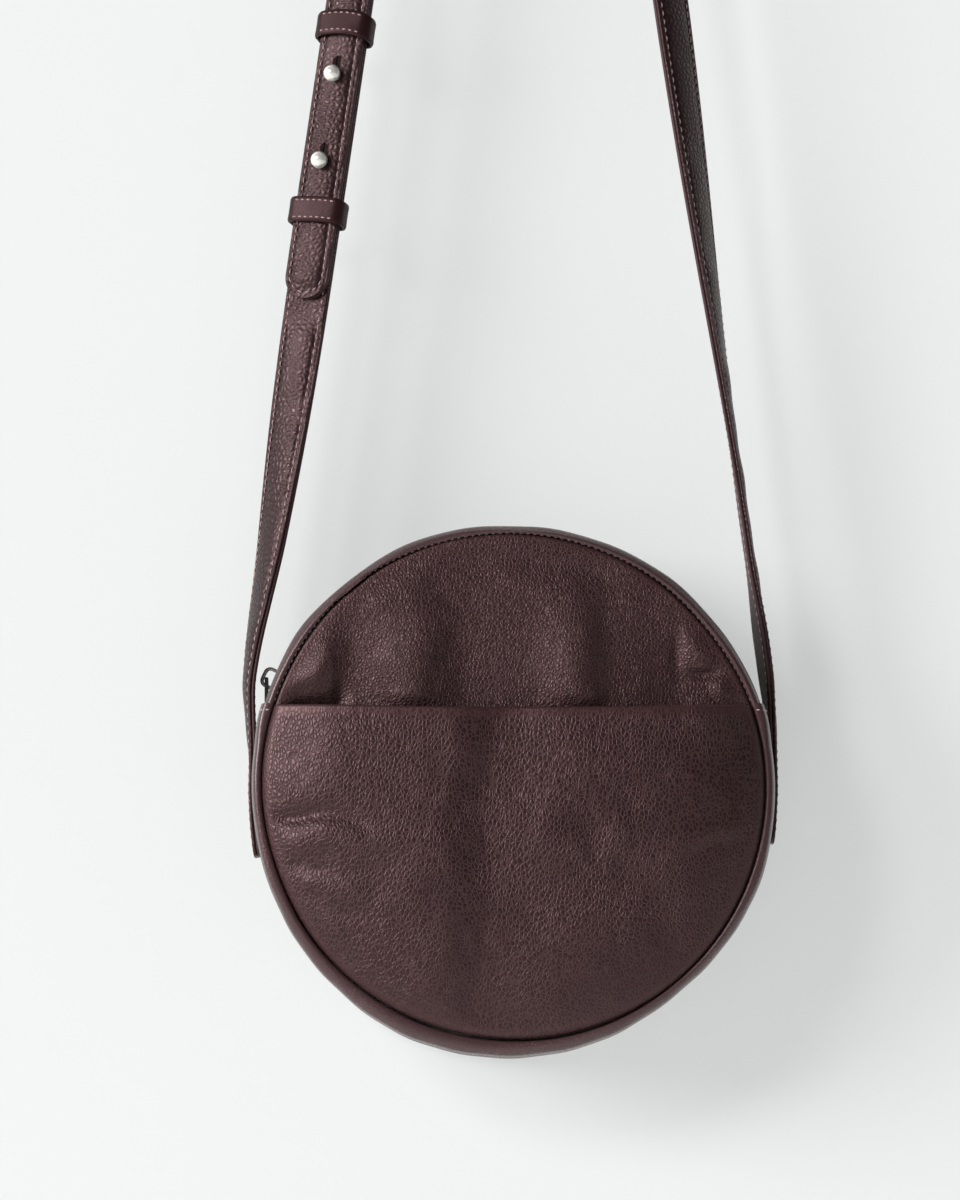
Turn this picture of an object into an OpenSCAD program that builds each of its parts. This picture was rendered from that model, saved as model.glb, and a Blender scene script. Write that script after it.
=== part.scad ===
// Round leather crossbody bag with a slip pocket, a zip over the top and a buttoned strap.
// The strap hangs over a peg: the origin is on its underside, at the top of the loop.
// +X is the viewer's right, -Y faces the viewer and +Z is up. Lengths are in millimetres.

/* [Bag] */
// Diameter across the crown of the gusset
crown_d = 211; // [190:1:240]
// Depth between the outer faces of the front and back panels, at the seams
bag_depth = 60; // [48:1:80]
// How far the crown of the gusset stands out beyond its two seams
crown_rise = 4; // [2:0.5:8]
// Height of the pocket mouth and of the gusset's side seams above the middle of the bag
mouth_rise = 33; // [24:1:38]
// Swell of the front panel beyond its seam
front_swell = 5; // [2:0.5:8]
// Swell of the pocket panel beyond its seam
pocket_swell = 13; // [11:0.5:20]
// Depth of the turned edge along the pocket mouth
pocket_turn = 12; // [6:1:20]
// Thickness of the leather panels
leather_t = 1.4; // [1:0.1:2]
// Thickness of the lining cloth
lining_t = 0.5; // [0.3:0.1:0.8]
// Room between the gusset's leather and its lining, for tape, patch and seam allowance
seam_room = 1; // [0.7:0.1:2]
// Clearance between pieces that part or slide
part_gap = 0.3; // [0.2:0.05:0.5]
// Length of each stiffening patch behind a strap end, along the gusset
patch_len = 44; // [34:1:60]

/* [Zip] */
// Width of the slot between the two leather halves of the top gusset
zip_slot = 12.6; // [11.5:0.2:18]
// Width of each zip tape, from the chain's outer edge outwards
tape_w = 10; // [8:0.5:14]
// Thickness of the tape
tape_t = 0.6; // [0.4:0.1:0.7]
// Width of the closed chain
chain_w = 6.4; // [5.5:0.1:7]
// Height of the chain's teeth
chain_h = 2.8; // [2.2:0.1:3.2]
// Gap between the two rows of teeth, where the slider's web runs
chain_gap = 1.2; // [1:0.1:1.8]
// Pitch of the teeth along one row
tooth_pitch = 3; // [2.6:0.1:4]
// Height of a tooth above the bead that it grips
tooth_rise = 0.6; // [0.3:0.1:0.9]
// Length of the slider along the chain
slider_len = 13; // [11:0.5:15]
// Width of the slider
slider_w = 9.2; // [8.6:0.1:10]
// Thickness of the slider's two plates
slider_plate_t = 1.2; // [0.8:0.1:1.5]
// Inside height of the bridge that holds the pull
bridge_h = 4.9; // [4:0.1:5.2]
// Thickness of the bridge
bridge_t = 1.2; // [0.8:0.1:1.6]
// Width of the bridge
bridge_w = 2.6; // [2:0.1:3.2]
// Distance from the slider's middle to the pull's cross bar, along the chain
pull_offset = 2.2; // [1.5:0.1:2.4]
// Length of the pull below its cross bar
pull_len = 10.4; // [9:0.2:11]
// Width of the pull
pull_w = 6; // [5.5:0.1:8]
// Thickness of the pull
pull_t = 1.5; // [1.2:0.1:1.8]
// Diameter of the hole near the pull's lower end
pull_hole_d = 2; // [1.4:0.1:2.6]
// Room between the slider at rest and the stop at the left end of the chain
rest_room = 1.29; // [0.5:0.01:3]
// Room between the slider and the right end's stop, with the zip fully open
open_room = 8.54; // [4:0.01:12]
// Angle kept between the slider and the parting of the chain's fixed ends
parting_a = 0.8; // [0.5:0.1:2]

/* [Strap] */
// Width of the strap
strap_w = 19; // [15:0.5:20]
// Thickness of each of the strap's two plies
ply_t = 1.55; // [1.2:0.05:1.8]
// Height of the peg's top above the crown of the gusset
strap_drop = 579.5; // [520:1:660]
// Radius of the peg that the strap hangs over
peg_r = 15; // [10:1:25]
// Height of the strap's bending line on the bag, above its middle
swing_rise = 12; // [10:0.5:16]
// How far the sewn strap end reaches below the middle of the bag, on the left
left_end_drop = 27; // [20:1:34]
// How far the sewn strap end reaches below the middle of the bag, on the right
right_end_drop = 22; // [18:1:34]
// Height at which the left strand starts to lean inwards
left_bend = 44; // [42:1:56]
// Height at which the right strand starts to lean inwards
right_bend = 35; // [34:1:56]
// Length over which a strand eases into its lean
bend_ease = 6; // [4:0.5:8]
// Twist of the left strand where its two straps lie together
left_twist = 51; // [0:1:60]
// Twist of the right strand
right_twist = 46; // [0:1:60]
// Height at which the left strand starts to twist
left_twist_from = 20; // [16:1:40]
// Height at which the right strand starts to twist
right_twist_from = 127; // [60:1:180]
// Height at which the right strand reaches its full twist
right_twist_to = 340; // [280:1:380]
// Height from which the right strand turns back
right_back_from = 400; // [380:1:440]
// How far below the peg's top both strands lie flat again
flat_below_peg = 45; // [35:1:60]

/* [Adjuster] */
// Height of the lower stud above the middle of the bag
lower_stud = 258.5; // [240:0.5:300]
// Distance between the two studs
stud_pitch = 36; // [32:0.5:40]
// Distance from the lower stud down to the lower keeper's middle
lower_keeper_drop = 21; // [17:0.5:24]
// Distance from the upper stud up to the upper keeper's middle
upper_keeper_rise = 19.5; // [17:0.5:24]
// Distance from the lower keeper's middle down to the tongue's tip
tongue_reach = 35.5; // [32:0.5:40]
// Length of the tongue's taper
tongue_taper = 9; // [6:0.5:14]
// How far the short strap reaches above the upper keeper's middle
short_reach = 22; // [18:0.5:30]
// Gap between the two straps that lie together
strap_gap = 0.2; // [0.1:0.05:0.4]
// Diameter of a stud's ball
ball_d = 7; // [6:0.1:8]
// Diameter of a stud's neck
neck_d = 4; // [3.6:0.1:4.4]
// Length of a stud's neck above the tongue
neck_rise = 0.6; // [0.3:0.1:1.5]
// Diameter of the holes that the studs pass through
stud_hole_d = 4.4; // [4.2:0.1:5]
// Length of the slit above each hole in the tongue
slit_len = 5.5; // [4:0.5:8]
// Width of that slit
slit_w = 0.6; // [0.4:0.1:1]
// Diameter of the screw's shank inside the stud
screw_d = 2.6; // [2:0.1:3]
// Length of the screw's shank
screw_len = 5; // [4:0.5:6]
// Diameter of the screw's head on the back of the strap
screw_head_d = 8; // [7:0.1:9]
// Thickness of the screw's head
screw_head_t = 1; // [0.8:0.1:1.4]
// Length of a keeper along the strap
keeper_len = 10; // [8:0.5:11]
// Thickness of a keeper's leather
keeper_t = 1.4; // [1:0.1:1.8]
// Play between a keeper and the strap's edges
keeper_play = 1; // [0.6:0.1:1.6]
// Play between a keeper and the strap's faces
keeper_lift = 0.5; // [0.4:0.1:0.8]

/* [Hidden] */

leather = "#5e3f45";
leather_dark = "#4a3036";
lining = "#77686a";
tape_colour = "#3a2a30";
nickel = "#b9b8b2";
gunmetal = "#55565a";

$fn = 96;
crown_r = crown_d / 2;
seam_r = crown_r - crown_rise;
half_depth = bag_depth / 2;
gusset_half = half_depth - leather_t;
lining_half = gusset_half - lining_t;
centre_z = -(crown_r + strap_drop);
// Half width of the gusset's flat middle, which the strap ends are sewn to
flat_share = 1.06;
flat_half = flat_share * strap_w / 2;
// Shares of the way from the flat middle to the seam, where the gusset's profile has its points
profile_shares = [0, 0.25, 0.45, 0.65, 0.82, 1];
crown_power = 1.8;
// Shares of the seam's radius where a panel's profile has its points
panel_shares = [0, 0.2, 0.38, 0.55, 0.68, 0.79, 0.88, 0.95, 1];
front_power = 2;
pocket_power = 4;

// Radius of the gusset's outer surface at a distance from the bag's middle plane
crown_table = concat([[0, crown_r]], [for (s = profile_shares)
    [flat_half + s * (gusset_half - flat_half), crown_r - crown_rise * pow(s, crown_power)]]);
function crown_at(y) = lookup(abs(y), crown_table);
// The profile's stations from one distance to another, in order
function stations(from, to) = [from, for (s = profile_shares)
    let (y = flat_half + s * (gusset_half - flat_half)) if (y > from && y < to) y, to];

// Turns a profile of radius and depth about the bag's axis, over a range of angles
module spun(from = 0, to = 360) {
    translate([0, 0, centre_z]) rotate([-90, 0, 0]) rotate([0, 0, -to])
        rotate_extrude(angle = to - from, $fn = 180) children();
}

// One side's gusset strip, between two depths below the outer surface
module strip_profile(side, from, to, top, bottom) {
    list = stations(from, to);
    polygon(concat(
        [for (y = list) [crown_at(y) - top, side * y]],
        [for (k = [len(list) - 1 : -1 : 0]) [crown_at(list[k]) - bottom, side * list[k]]]));
}

// A gusset strip across the whole depth
module full_profile(half, top, bottom) {
    list = stations(0, half);
    last = len(list) - 1;
    both = [for (k = [last : -1 : 1]) -list[k], for (y = list) y];
    polygon(concat([for (y = both) [crown_at(y) - top, y]],
        [for (k = [len(both) - 1 : -1 : 0]) [crown_at(both[k]) - bottom, both[k]]]));
}

// Depth of a panel's surface at a share of the seam's radius
function swell(share, rise, power) = rise * (1 - pow(share, power));

// A swelled round panel: its face lies at depth face and swells forwards
module panel_profile(radius, face, t, rise, power) {
    last = len(panel_shares) - 1;
    polygon(concat(
        [for (s = panel_shares) [radius * s, -face - swell(s, rise, power)]],
        [for (k = [last : -1 : 0])
            [radius * panel_shares[k], -face + t - swell(panel_shares[k], rise, power)]]));
}

// The half space above the mouth, and the one below it, as boxes larger than the bag
module above_mouth(rise = mouth_rise) {
    translate([-crown_d, -crown_d, centre_z + rise]) cube([2 * crown_d, 2 * crown_d, crown_d]);
}
module below_mouth(rise = mouth_rise - part_gap) {
    translate([-crown_d, -crown_d, centre_z + rise - 2 * crown_d])
        cube([2 * crown_d, 2 * crown_d, 2 * crown_d]);
}

module front_panel_lower() {
    color(leather) intersection() {
        spun() panel_profile(seam_r, half_depth, leather_t, front_swell, front_power);
        below_mouth();
    }
}

module front_panel_upper() {
    color(leather) intersection() {
        spun() panel_profile(seam_r, half_depth, leather_t, front_swell, front_power);
        above_mouth();
    }
}

// Shares of the seam's radius that the pocket's turned edge and its lining reach
turn_share = 0.9;
pocket_lining_share = 0.95;
module inner_region(share) {
    translate([0, -crown_d]) square([seam_r * share, crown_d]);
}

// The pocket panel, with its edge turned in along the mouth
module pocket_panel() {
    color(leather) intersection() {
        union() {
            spun() panel_profile(seam_r, half_depth + leather_t, leather_t, pocket_swell, pocket_power);
            intersection() {
                spun() intersection() {
                    panel_profile(seam_r, half_depth, leather_t, pocket_swell, pocket_power);
                    inner_region(turn_share);
                }
                above_mouth(mouth_rise - part_gap - pocket_turn);
            }
        }
        below_mouth();
    }
}

// Cloth inside the pocket panel, below its turned edge
module pocket_lining() {
    color(lining) intersection() {
        spun() intersection() {
            panel_profile(seam_r, half_depth, lining_t, pocket_swell, pocket_power);
            inner_region(pocket_lining_share);
        }
        below_mouth(mouth_rise - 2 * part_gap - pocket_turn);
    }
}

module back_panel() {
    color(leather) spun() translate([0, half_depth - leather_t]) square([seam_r, leather_t]);
}

module bottom_gusset() {
    color(leather) intersection() {
        spun() full_profile(gusset_half, 0, leather_t);
        below_mouth();
    }
}

module top_gusset(side) {
    color(leather) intersection() {
        spun(0, 180) strip_profile(side, zip_slot / 2, gusset_half, 0, leather_t);
        above_mouth();
    }
}
module top_gusset_back() { top_gusset(1); }
module top_gusset_front() { top_gusset(-1); }

// Linings: the gusset's stand off the leather by the seam room
module gusset_lining(side, from_a, to_a) {
    color(lining) intersection() {
        spun(from_a, to_a) strip_profile(side, zip_slot / 2 + lining_t, lining_half,
            leather_t + seam_room, leather_t + seam_room + lining_t);
        above_mouth();
    }
}
module lining_top_gusset_back() { gusset_lining(1, 0, 180); }
module lining_top_gusset_front() { gusset_lining(-1, chain_from + parting_a, chain_to - parting_a); }

module lining_bottom_gusset() {
    color(lining) intersection() {
        spun() full_profile(lining_half, leather_t + seam_room, leather_t + seam_room + lining_t);
        below_mouth();
    }
}

lining_r = seam_r - leather_t - lining_t;
module lining_back() {
    color(lining) spun() translate([0, lining_half]) square([lining_r, lining_t]);
}
module lining_front_whole() {
    spun() panel_profile(lining_r, gusset_half, lining_t, front_swell * lining_r / seam_r, front_power);
}
module lining_front_lower() {
    color(lining) intersection() {
        lining_front_whole();
        below_mouth();
    }
}
module lining_front_upper() {
    color(lining) intersection() {
        lining_front_whole();
        above_mouth();
    }
}

// Zip: angles are measured about the bag's axis from its right side, upwards
tape_r = crown_r - leather_t;
chain_mid_r = tape_r - tape_t / 2;
chain_top_r = chain_mid_r + chain_h / 2;
chain_low_r = chain_mid_r - chain_h / 2;
slider_half_a = slider_len / 2 / chain_mid_r * 180 / PI;
side_a = asin(mouth_rise / chain_low_r);
stop_a = side_a + 3 * parting_a;
slider_rest_a = 180 - stop_a - slider_half_a - rest_room / chain_mid_r * 180 / PI;
slider_open_a = stop_a + slider_half_a + open_room / chain_mid_r * 180 / PI;
chain_from = slider_open_a + slider_half_a + parting_a;
chain_to = slider_rest_a - slider_half_a - parting_a;
row_w = (chain_w - chain_gap) / 2;
tooth_a = tooth_pitch / chain_mid_r * 180 / PI;
tooth_share = 0.55;

function polar(r, a) = [r * cos(a), r * sin(a)];

// One row of teeth on its bead, between two angles
module teeth_row(side, from, to) {
    count = floor((to - from) / tooth_a);
    step = (to - from) / count;
    inner_steps = ceil(count / 2);
    low_y = side > 0 ? chain_gap / 2 + row_w : -chain_gap / 2;
    translate([0, low_y, centre_z]) rotate([90, 0, 0]) linear_extrude(row_w)
        polygon(concat(
            [for (k = [0 : count - 1]) each [
                polar(chain_top_r - tooth_rise, from + k * step),
                polar(chain_top_r, from + k * step),
                polar(chain_top_r, from + (k + tooth_share) * step),
                polar(chain_top_r - tooth_rise, from + (k + tooth_share) * step)]],
            [polar(chain_top_r - tooth_rise, to)],
            [for (k = [inner_steps : -1 : 0]) polar(chain_low_r, from + k * (to - from) / inner_steps)]));
}

module tape(side, from, to) {
    spun(from, to) strip_profile(side, chain_w / 2, chain_w / 2 + tape_w, leather_t, leather_t + tape_t);
}

module zip_tape_back() {
    color(tape_colour) tape(1, side_a, 180 - side_a);
}
module zip_teeth_back() {
    color(gunmetal) teeth_row(1, side_a, 180 - side_a);
}
module zip_tape_front() {
    color(tape_colour) tape(-1, chain_from, chain_to);
}
module zip_teeth_front() {
    color(gunmetal) teeth_row(-1, chain_from, chain_to);
}

// The sewn-down end of the front tape, with its teeth and the stop that closes the chain
module zip_end(from, to, stop_at) {
    color(gunmetal) {
        tape(-1, from, to);
        teeth_row(-1, from, to);
        spun(stop_at - parting_a, stop_at + parting_a)
            translate([chain_low_r - tape_t / 2, -chain_w / 2])
                square([chain_h + tape_t, chain_w / 2 + chain_gap / 2]);
    }
}
module zip_end_left() {
    zip_end(chain_to + parting_a / 2, 180 - side_a, 180 - side_a - 2 * parting_a);
}
module zip_end_right() {
    zip_end(side_a, chain_from - parting_a / 2, side_a + 2 * parting_a);
}

plate_from_r = chain_top_r + part_gap;
plate_to_r = chain_low_r - part_gap;
lip_y = chain_w / 2 + part_gap;

// Slider: two plates joined by a web, with lips that wrap the chain's outer edges
module zip_slider_body() {
    color(gunmetal) spun(slider_rest_a - slider_half_a, slider_rest_a + slider_half_a) union() {
        translate([plate_from_r, -slider_w / 2]) square([slider_plate_t, slider_w]);
        translate([plate_to_r - slider_plate_t, -slider_w / 2]) square([slider_plate_t, slider_w]);
        translate([plate_to_r - slider_plate_t / 2, -chain_gap / 2 + part_gap])
            square([plate_from_r - plate_to_r + slider_plate_t, chain_gap - 2 * part_gap]);
        for (side = [-1, 1]) {
            low_y = side > 0 ? lip_y : -slider_w / 2;
            translate([tape_r + part_gap, low_y])
                square([plate_from_r - tape_r - part_gap / 2, slider_w / 2 - lip_y]);
            translate([plate_to_r - part_gap / 2, low_y])
                square([tape_r - tape_t - part_gap - plate_to_r + part_gap / 2, slider_w / 2 - lip_y]);
        }
    }
}

// Moves to the slider's middle: X along the chain downwards, Z away from the bag
module at_slider(radius) {
    translate([0, 0, centre_z]) rotate([0, 90 - slider_rest_a, 0]) translate([0, 0, radius])
        rotate([0, 0, 180]) children();
}

bridge_base_r = plate_from_r + slider_plate_t;
bridge_span_share = 0.78;
bridge_corner_share = 0.4;
bridge_len = slider_len * bridge_span_share;

// Bridge: an arch on the slider's upper plate
module zip_slider_bridge() {
    color(nickel) at_slider(bridge_base_r) translate([0, bridge_w / 2, 0]) rotate([90, 0, 0])
        linear_extrude(bridge_w) difference() {
            bridge_outline(bridge_len, bridge_h + bridge_t);
            bridge_outline(bridge_len - 2 * bridge_t, bridge_h);
        }
}
module bridge_outline(length, height) {
    corner = height * bridge_corner_share;
    translate([-length / 2, 0]) square([length, height - corner]);
    translate([-length / 2 + corner, 0]) square([length - 2 * corner, height]);
    for (x = [-1, 1]) translate([x * (length / 2 - corner), height - corner]) circle(corner, $fn = 48);
}

// The pull's cross bar lies under the bridge
bar_d = pull_t;
bar_r = bridge_base_r + bridge_h - bar_d / 2 - part_gap;
pull_x = bar_r * cos(slider_rest_a) - pull_offset * sin(slider_rest_a);
pull_z = bar_r * sin(slider_rest_a) + pull_offset * cos(slider_rest_a);
window_w = bridge_w + 2 * part_gap;
window_len_share = 0.52;

// Pull: a flat tab that hangs from its cross bar, with a window that straddles the bridge
module zip_pull_tab() {
    color(gunmetal) translate([pull_x, 0, centre_z + pull_z]) {
        rotate([90, 0, 0]) translate([0, 0, -pull_w / 2]) cylinder(pull_w, d = bar_d, $fn = 32);
        difference() {
            translate([-pull_t / 2, 0, 0]) rotate([90, 0, 90]) linear_extrude(pull_t) difference() {
                pull_outline();
                translate([-window_w / 2, -pull_len * window_len_share])
                    square([window_w, pull_len * window_len_share]);
            }
            translate([-pull_t, 0, -pull_len + pull_w / 2]) rotate([0, 90, 0])
                cylinder(2 * pull_t, d = pull_hole_d, $fn = 32);
        }
    }
}
module pull_outline() {
    translate([-pull_w / 2, -pull_len + pull_w / 2]) square([pull_w, pull_len - pull_w / 2]);
    translate([0, -pull_len + pull_w / 2]) circle(d = pull_w, $fn = 48);
}

// Strap path: heights are measured above the middle of the bag
strap_t = 2 * ply_t;
side_x = crown_r + part_gap + ply_t;
peg_h = crown_r + strap_drop - peg_r;
wrap_r = peg_r + ply_t;

function strand_bend(side) = side < 0 ? left_bend : right_bend;
// Lean of the straight strand that is tangent to the peg
function strand_lean(side) =
    let (rise = peg_h - strand_bend(side))
    atan2(side_x, rise) - asin(wrap_r / sqrt(side_x * side_x + rise * rise));
// Distance past the bend, eased round it, and its slope
function eased(u) = (u + sqrt(u * u + bend_ease * bend_ease)) / 2;
function eased_slope(u) = (1 + u / sqrt(u * u + bend_ease * bend_ease)) / 2;
function smooth(u) = let (v = min(1, max(0, u))) v * v * (3 - 2 * v);

// Heights of the adjuster's pieces, all set from the lower stud
upper_stud = lower_stud + stud_pitch;
lower_keeper = lower_stud - lower_keeper_drop;
upper_keeper = upper_stud + upper_keeper_rise;
short_end = upper_keeper + short_reach;
tongue_tip = lower_keeper - tongue_reach;

left_back_from = short_end + strap_w;
flat_h = crown_r + strap_drop - flat_below_peg;
function twist_at(side, h) = side < 0
    ? left_twist * smooth((h - left_twist_from) / (tongue_tip - strap_w / 2 - left_twist_from))
        * (1 - smooth((h - left_back_from) / (flat_h - left_back_from)))
    : right_twist * smooth((h - right_twist_from) / (right_twist_to - right_twist_from))
        * (1 - smooth((h - right_back_from) / (flat_h - right_back_from)));

// Place, outward direction and near-edge direction of a strand at a height
function strand_at(side, h) =
    let (u = h - strand_bend(side),
        slope = tan(strand_lean(side)),
        lean = atan(slope * eased_slope(u)),
        twist = twist_at(side, h),
        out = [side * cos(lean), 0, sin(lean)],
        near = [0, -1, 0])
    [[side * (side_x - slope * eased(u)), 0, centre_z + h],
        out * cos(twist) + near * sin(twist),
        near * cos(twist) - out * sin(twist)];

// The same on the wrap over the peg, at an angle from the right side
function wrap_at(a) = let (out = [cos(a), 0, sin(a)]) [[0, 0, -peg_r] + wrap_r * out, out, [0, -1, 0]];

// A station moved outwards, with its half width
function section(station, lift, half) =
    [station[0] + lift * station[1], station[1], station[2], half];

// Corners of one ply's section
function ply_ring(s, low, high) = [
    s[0] + low * s[1] + s[3] * s[2], s[0] + high * s[1] + s[3] * s[2],
    s[0] + high * s[1] - s[3] * s[2], s[0] + low * s[1] - s[3] * s[2]];

// Faces of one step: both plies split their shared face along the same diagonal
function step_faces(k) = let (i = 4 * k, j = i + 4) [
    [i, i + 1, j + 1], [i, j + 1, j], [i + 1, i + 2, j + 2], [i + 1, j + 2, j + 1],
    [i + 2, i + 3, j + 3], [i + 2, j + 3, j + 2], [i + 3, i, j + 3], [i, j, j + 3]];

module ply(sections, low, high) {
    last = len(sections) - 1;
    end = 4 * last;
    polyhedron(points = [for (s = sections) each ply_ring(s, low, high)],
        faces = concat([[3, 2, 1, 0]], [for (k = [0 : last - 1]) each step_faces(k)],
            [[end, end + 1, end + 2, end + 3]]), convexity = 6);
}

// Heights and half widths of a rounded end: sign is 1 where the strap lies above its end
round_steps = [15, 40, 65, 90];
function round_end(h, radius, sign) = [for (a = round_steps)
    [h - sign * radius * cos(a), strap_w / 2 - radius + radius * sin(a)]];
function reversed(list) = [for (k = [len(list) - 1 : -1 : 0]) list[k]];
// Heights from one to another in even steps, without the first
function climb(from, to, step) = let (n = ceil(abs(to - from) / step))
    [for (k = [1 : n]) [from + (to - from) * k / n, strap_w / 2]];

twist_step_share = 0.42;
twist_step = strap_w * twist_step_share;
long_step_share = 0.7;
long_step = strap_w * long_step_share;
strap_half = strap_w / 2;
end_corner_share = 0.25;
end_corner = strap_w * end_corner_share;

short_heights = concat(
    round_end(swing_rise, strap_half, 1),
    climb(swing_rise, tongue_tip - strap_half, twist_step),
    [[short_end - end_corner, strap_half]],
    reversed(round_end(short_end - end_corner, end_corner, -1)));
short_list = [for (k = [0 : len(short_heights) - 1])
    if (k == 0 || short_heights[k][0] > short_heights[k - 1][0]) short_heights[k]];
short_sections = [for (p = short_list) section(strand_at(-1, p[0]), 0, p[1])];

// The tongue lies on the short strap, and the long strap comes back into line above it
function tongue_lift(h) = (strap_t + strap_gap)
    * (1 - smooth((h - left_back_from) / (flat_h - left_back_from)));
// Height at which a strand meets the wrap over the peg
function tangent_h(side) = peg_h + wrap_r * sin(strand_lean(side));
tongue_start = tongue_tip + tongue_taper;
left_heights = concat(
    round_end(tongue_start, tongue_taper, 1),
    [[left_back_from, strap_half]],
    climb(left_back_from, tangent_h(-1), long_step));
right_heights = reversed(concat(
    round_end(swing_rise, strap_half, 1),
    climb(swing_rise, right_bend + strap_w, twist_step),
    [[right_twist_from, strap_half]],
    climb(right_twist_from, tangent_h(1), long_step)));
wrap_step = 12;
wrap_from = 180 - strand_lean(-1);
wrap_to = strand_lean(1);
wrap_count = ceil((wrap_from - wrap_to) / wrap_step);
long_sections = concat(
    [for (p = left_heights) section(strand_at(-1, p[0]), tongue_lift(p[0]), p[1])],
    [for (k = [1 : wrap_count - 1])
        section(wrap_at(wrap_from + (wrap_to - wrap_from) * k / wrap_count), 0, strap_half)],
    [for (p = right_heights) section(strand_at(1, p[0]), 0, p[1])]);

// Moves to the left strand at a height: X outwards, Y to the near edge, Z up the strand
module on_left_strand(h) {
    place = strand_at(-1, h)[0];
    translate(place) rotate([0, strand_lean(-1), 0]) rotate([0, 0, 180 + left_twist]) children();
}

stud_heights = [lower_stud, upper_stud];
over_cut = strap_t;
module stud_holes(from, to) {
    for (h = stud_heights) on_left_strand(h) translate([from - over_cut, 0, 0])
        rotate([0, 90, 0]) cylinder(to - from + 2 * over_cut, d = stud_hole_d, $fn = 48);
}
module stud_slits(from, to) {
    for (h = stud_heights) on_left_strand(h)
        translate([from - over_cut, -slit_w / 2, 0])
            cube([to - from + 2 * over_cut, slit_w, stud_hole_d / 2 + slit_len]);
}

module strap_short_face() {
    color(leather) difference() {
        ply(short_sections, 0, ply_t);
        stud_holes(0, ply_t);
    }
}
module strap_short_backing() {
    color(leather_dark) difference() {
        ply(short_sections, -ply_t, 0);
        stud_holes(-ply_t, 0);
    }
}
tongue_mid = strap_t + strap_gap;
module strap_long_face() {
    color(leather) difference() {
        ply(long_sections, 0, ply_t);
        stud_holes(tongue_mid, tongue_mid + ply_t);
        stud_slits(tongue_mid, tongue_mid + ply_t);
    }
}
module strap_long_backing() {
    color(leather_dark) difference() {
        ply(long_sections, -ply_t, 0);
        stud_holes(tongue_mid - ply_t + strap_gap, tongue_mid);
        stud_slits(tongue_mid - ply_t + strap_gap, tongue_mid);
    }
}

// Stud: a ball on a neck that passes through both straps; the screw holds it from behind
tongue_top = tongue_mid + ply_t;
ball_x = tongue_top + neck_rise + sqrt(pow(ball_d, 2) - pow(neck_d, 2)) / 2;
module stud(h) {
    color(nickel) on_left_strand(h) difference() {
        union() {
            translate([-ply_t, 0, 0]) rotate([0, 90, 0]) cylinder(ball_x + ply_t, d = neck_d, $fn = 48);
            translate([ball_x, 0, 0]) sphere(d = ball_d, $fn = 64);
        }
        translate([-ply_t - over_cut, 0, 0]) rotate([0, 90, 0])
            cylinder(screw_len + over_cut, d = screw_d, $fn = 32);
    }
}
module stud_screw(h) {
    color(nickel) on_left_strand(h) rotate([0, 90, 0]) {
        translate([0, 0, -ply_t - screw_head_t]) cylinder(screw_head_t, d = screw_head_d, $fn = 48);
        translate([0, 0, -ply_t - screw_head_t / 2])
            cylinder(screw_len - part_gap, d = screw_d, $fn = 32);
    }
}
module stud_lower() { stud(stud_heights[0]); }
module stud_upper() { stud(stud_heights[1]); }
module stud_screw_lower() { stud_screw(stud_heights[0]); }
module stud_screw_upper() { stud_screw(stud_heights[1]); }

// Keeper: a leather loop round both straps
keeper_in_w = strap_w + 2 * keeper_play;
keeper_in_t = 2 * strap_t + strap_gap + 2 * keeper_lift;
keeper_mid = (strap_t + strap_gap) / 2;
module keeper(h) {
    color(leather) on_left_strand(h) translate([keeper_mid, 0, -keeper_len / 2])
        linear_extrude(keeper_len) difference() {
            rounded_box(keeper_in_t + 2 * keeper_t, keeper_in_w + 2 * keeper_t, 2 * keeper_t);
            rounded_box(keeper_in_t, keeper_in_w, keeper_t / 2);
        }
}
module rounded_box(w, h, r) {
    square([w, h - 2 * r], center = true);
    square([w - 2 * r, h], center = true);
    for (x = [-1, 1], y = [-1, 1]) translate([x * (w / 2 - r), y * (h / 2 - r)]) circle(r, $fn = 32);
}
module keeper_upper() { keeper(upper_keeper); }
module keeper_lower() { keeper(lower_keeper); }

// Sewn strap ends: both plies follow the gusset's flat middle
module strap_end(from, to) {
    color(leather) for (k = [0, 1]) spun(from, to)
        translate([crown_r + k * ply_t, -strap_half]) square([ply_t, strap_w]);
}
end_top_a = asin((swing_rise - strap_half - part_gap) / (crown_r + strap_t));
left_end_a = asin(left_end_drop / (crown_r + strap_t));
right_end_a = asin(right_end_drop / (crown_r + strap_t));
module strap_end_left() { strap_end(180 - end_top_a, 180 + left_end_a); }
module strap_end_right() { strap_end(-right_end_a, end_top_a); }

// Stiff patches between the gusset's leather and its lining, behind the sewn ends
patch_mid_a = (left_end_a - end_top_a) / 2;
patch_half_a = patch_len / 2 / crown_r * 180 / PI;
module side_patch(mid) {
    color(leather_dark) spun(mid - patch_half_a, mid + patch_half_a)
        translate([crown_r - leather_t - seam_room, -flat_half]) square([seam_room, 2 * flat_half]);
}
module side_patch_left() { side_patch(180 + patch_mid_a); }
module side_patch_right() { side_patch(-patch_mid_a); }

front_panel_lower();
pocket_panel();
pocket_lining();
back_panel();
bottom_gusset();
top_gusset_back();
zip_tape_back();
zip_teeth_back();
zip_end_left();
zip_end_right();
strap_end_left();
strap_end_right();
side_patch_left();
side_patch_right();
lining_front_lower();
lining_back();
lining_bottom_gusset();
lining_top_gusset_back();
front_panel_upper();
top_gusset_front();
zip_tape_front();
zip_teeth_front();
lining_front_upper();
lining_top_gusset_front();
zip_slider_body();
zip_slider_bridge();
zip_pull_tab();
strap_short_face();
strap_short_backing();
strap_long_face();
strap_long_backing();
stud_upper();
stud_lower();
stud_screw_upper();
stud_screw_lower();
keeper_upper();
keeper_lower();
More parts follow.
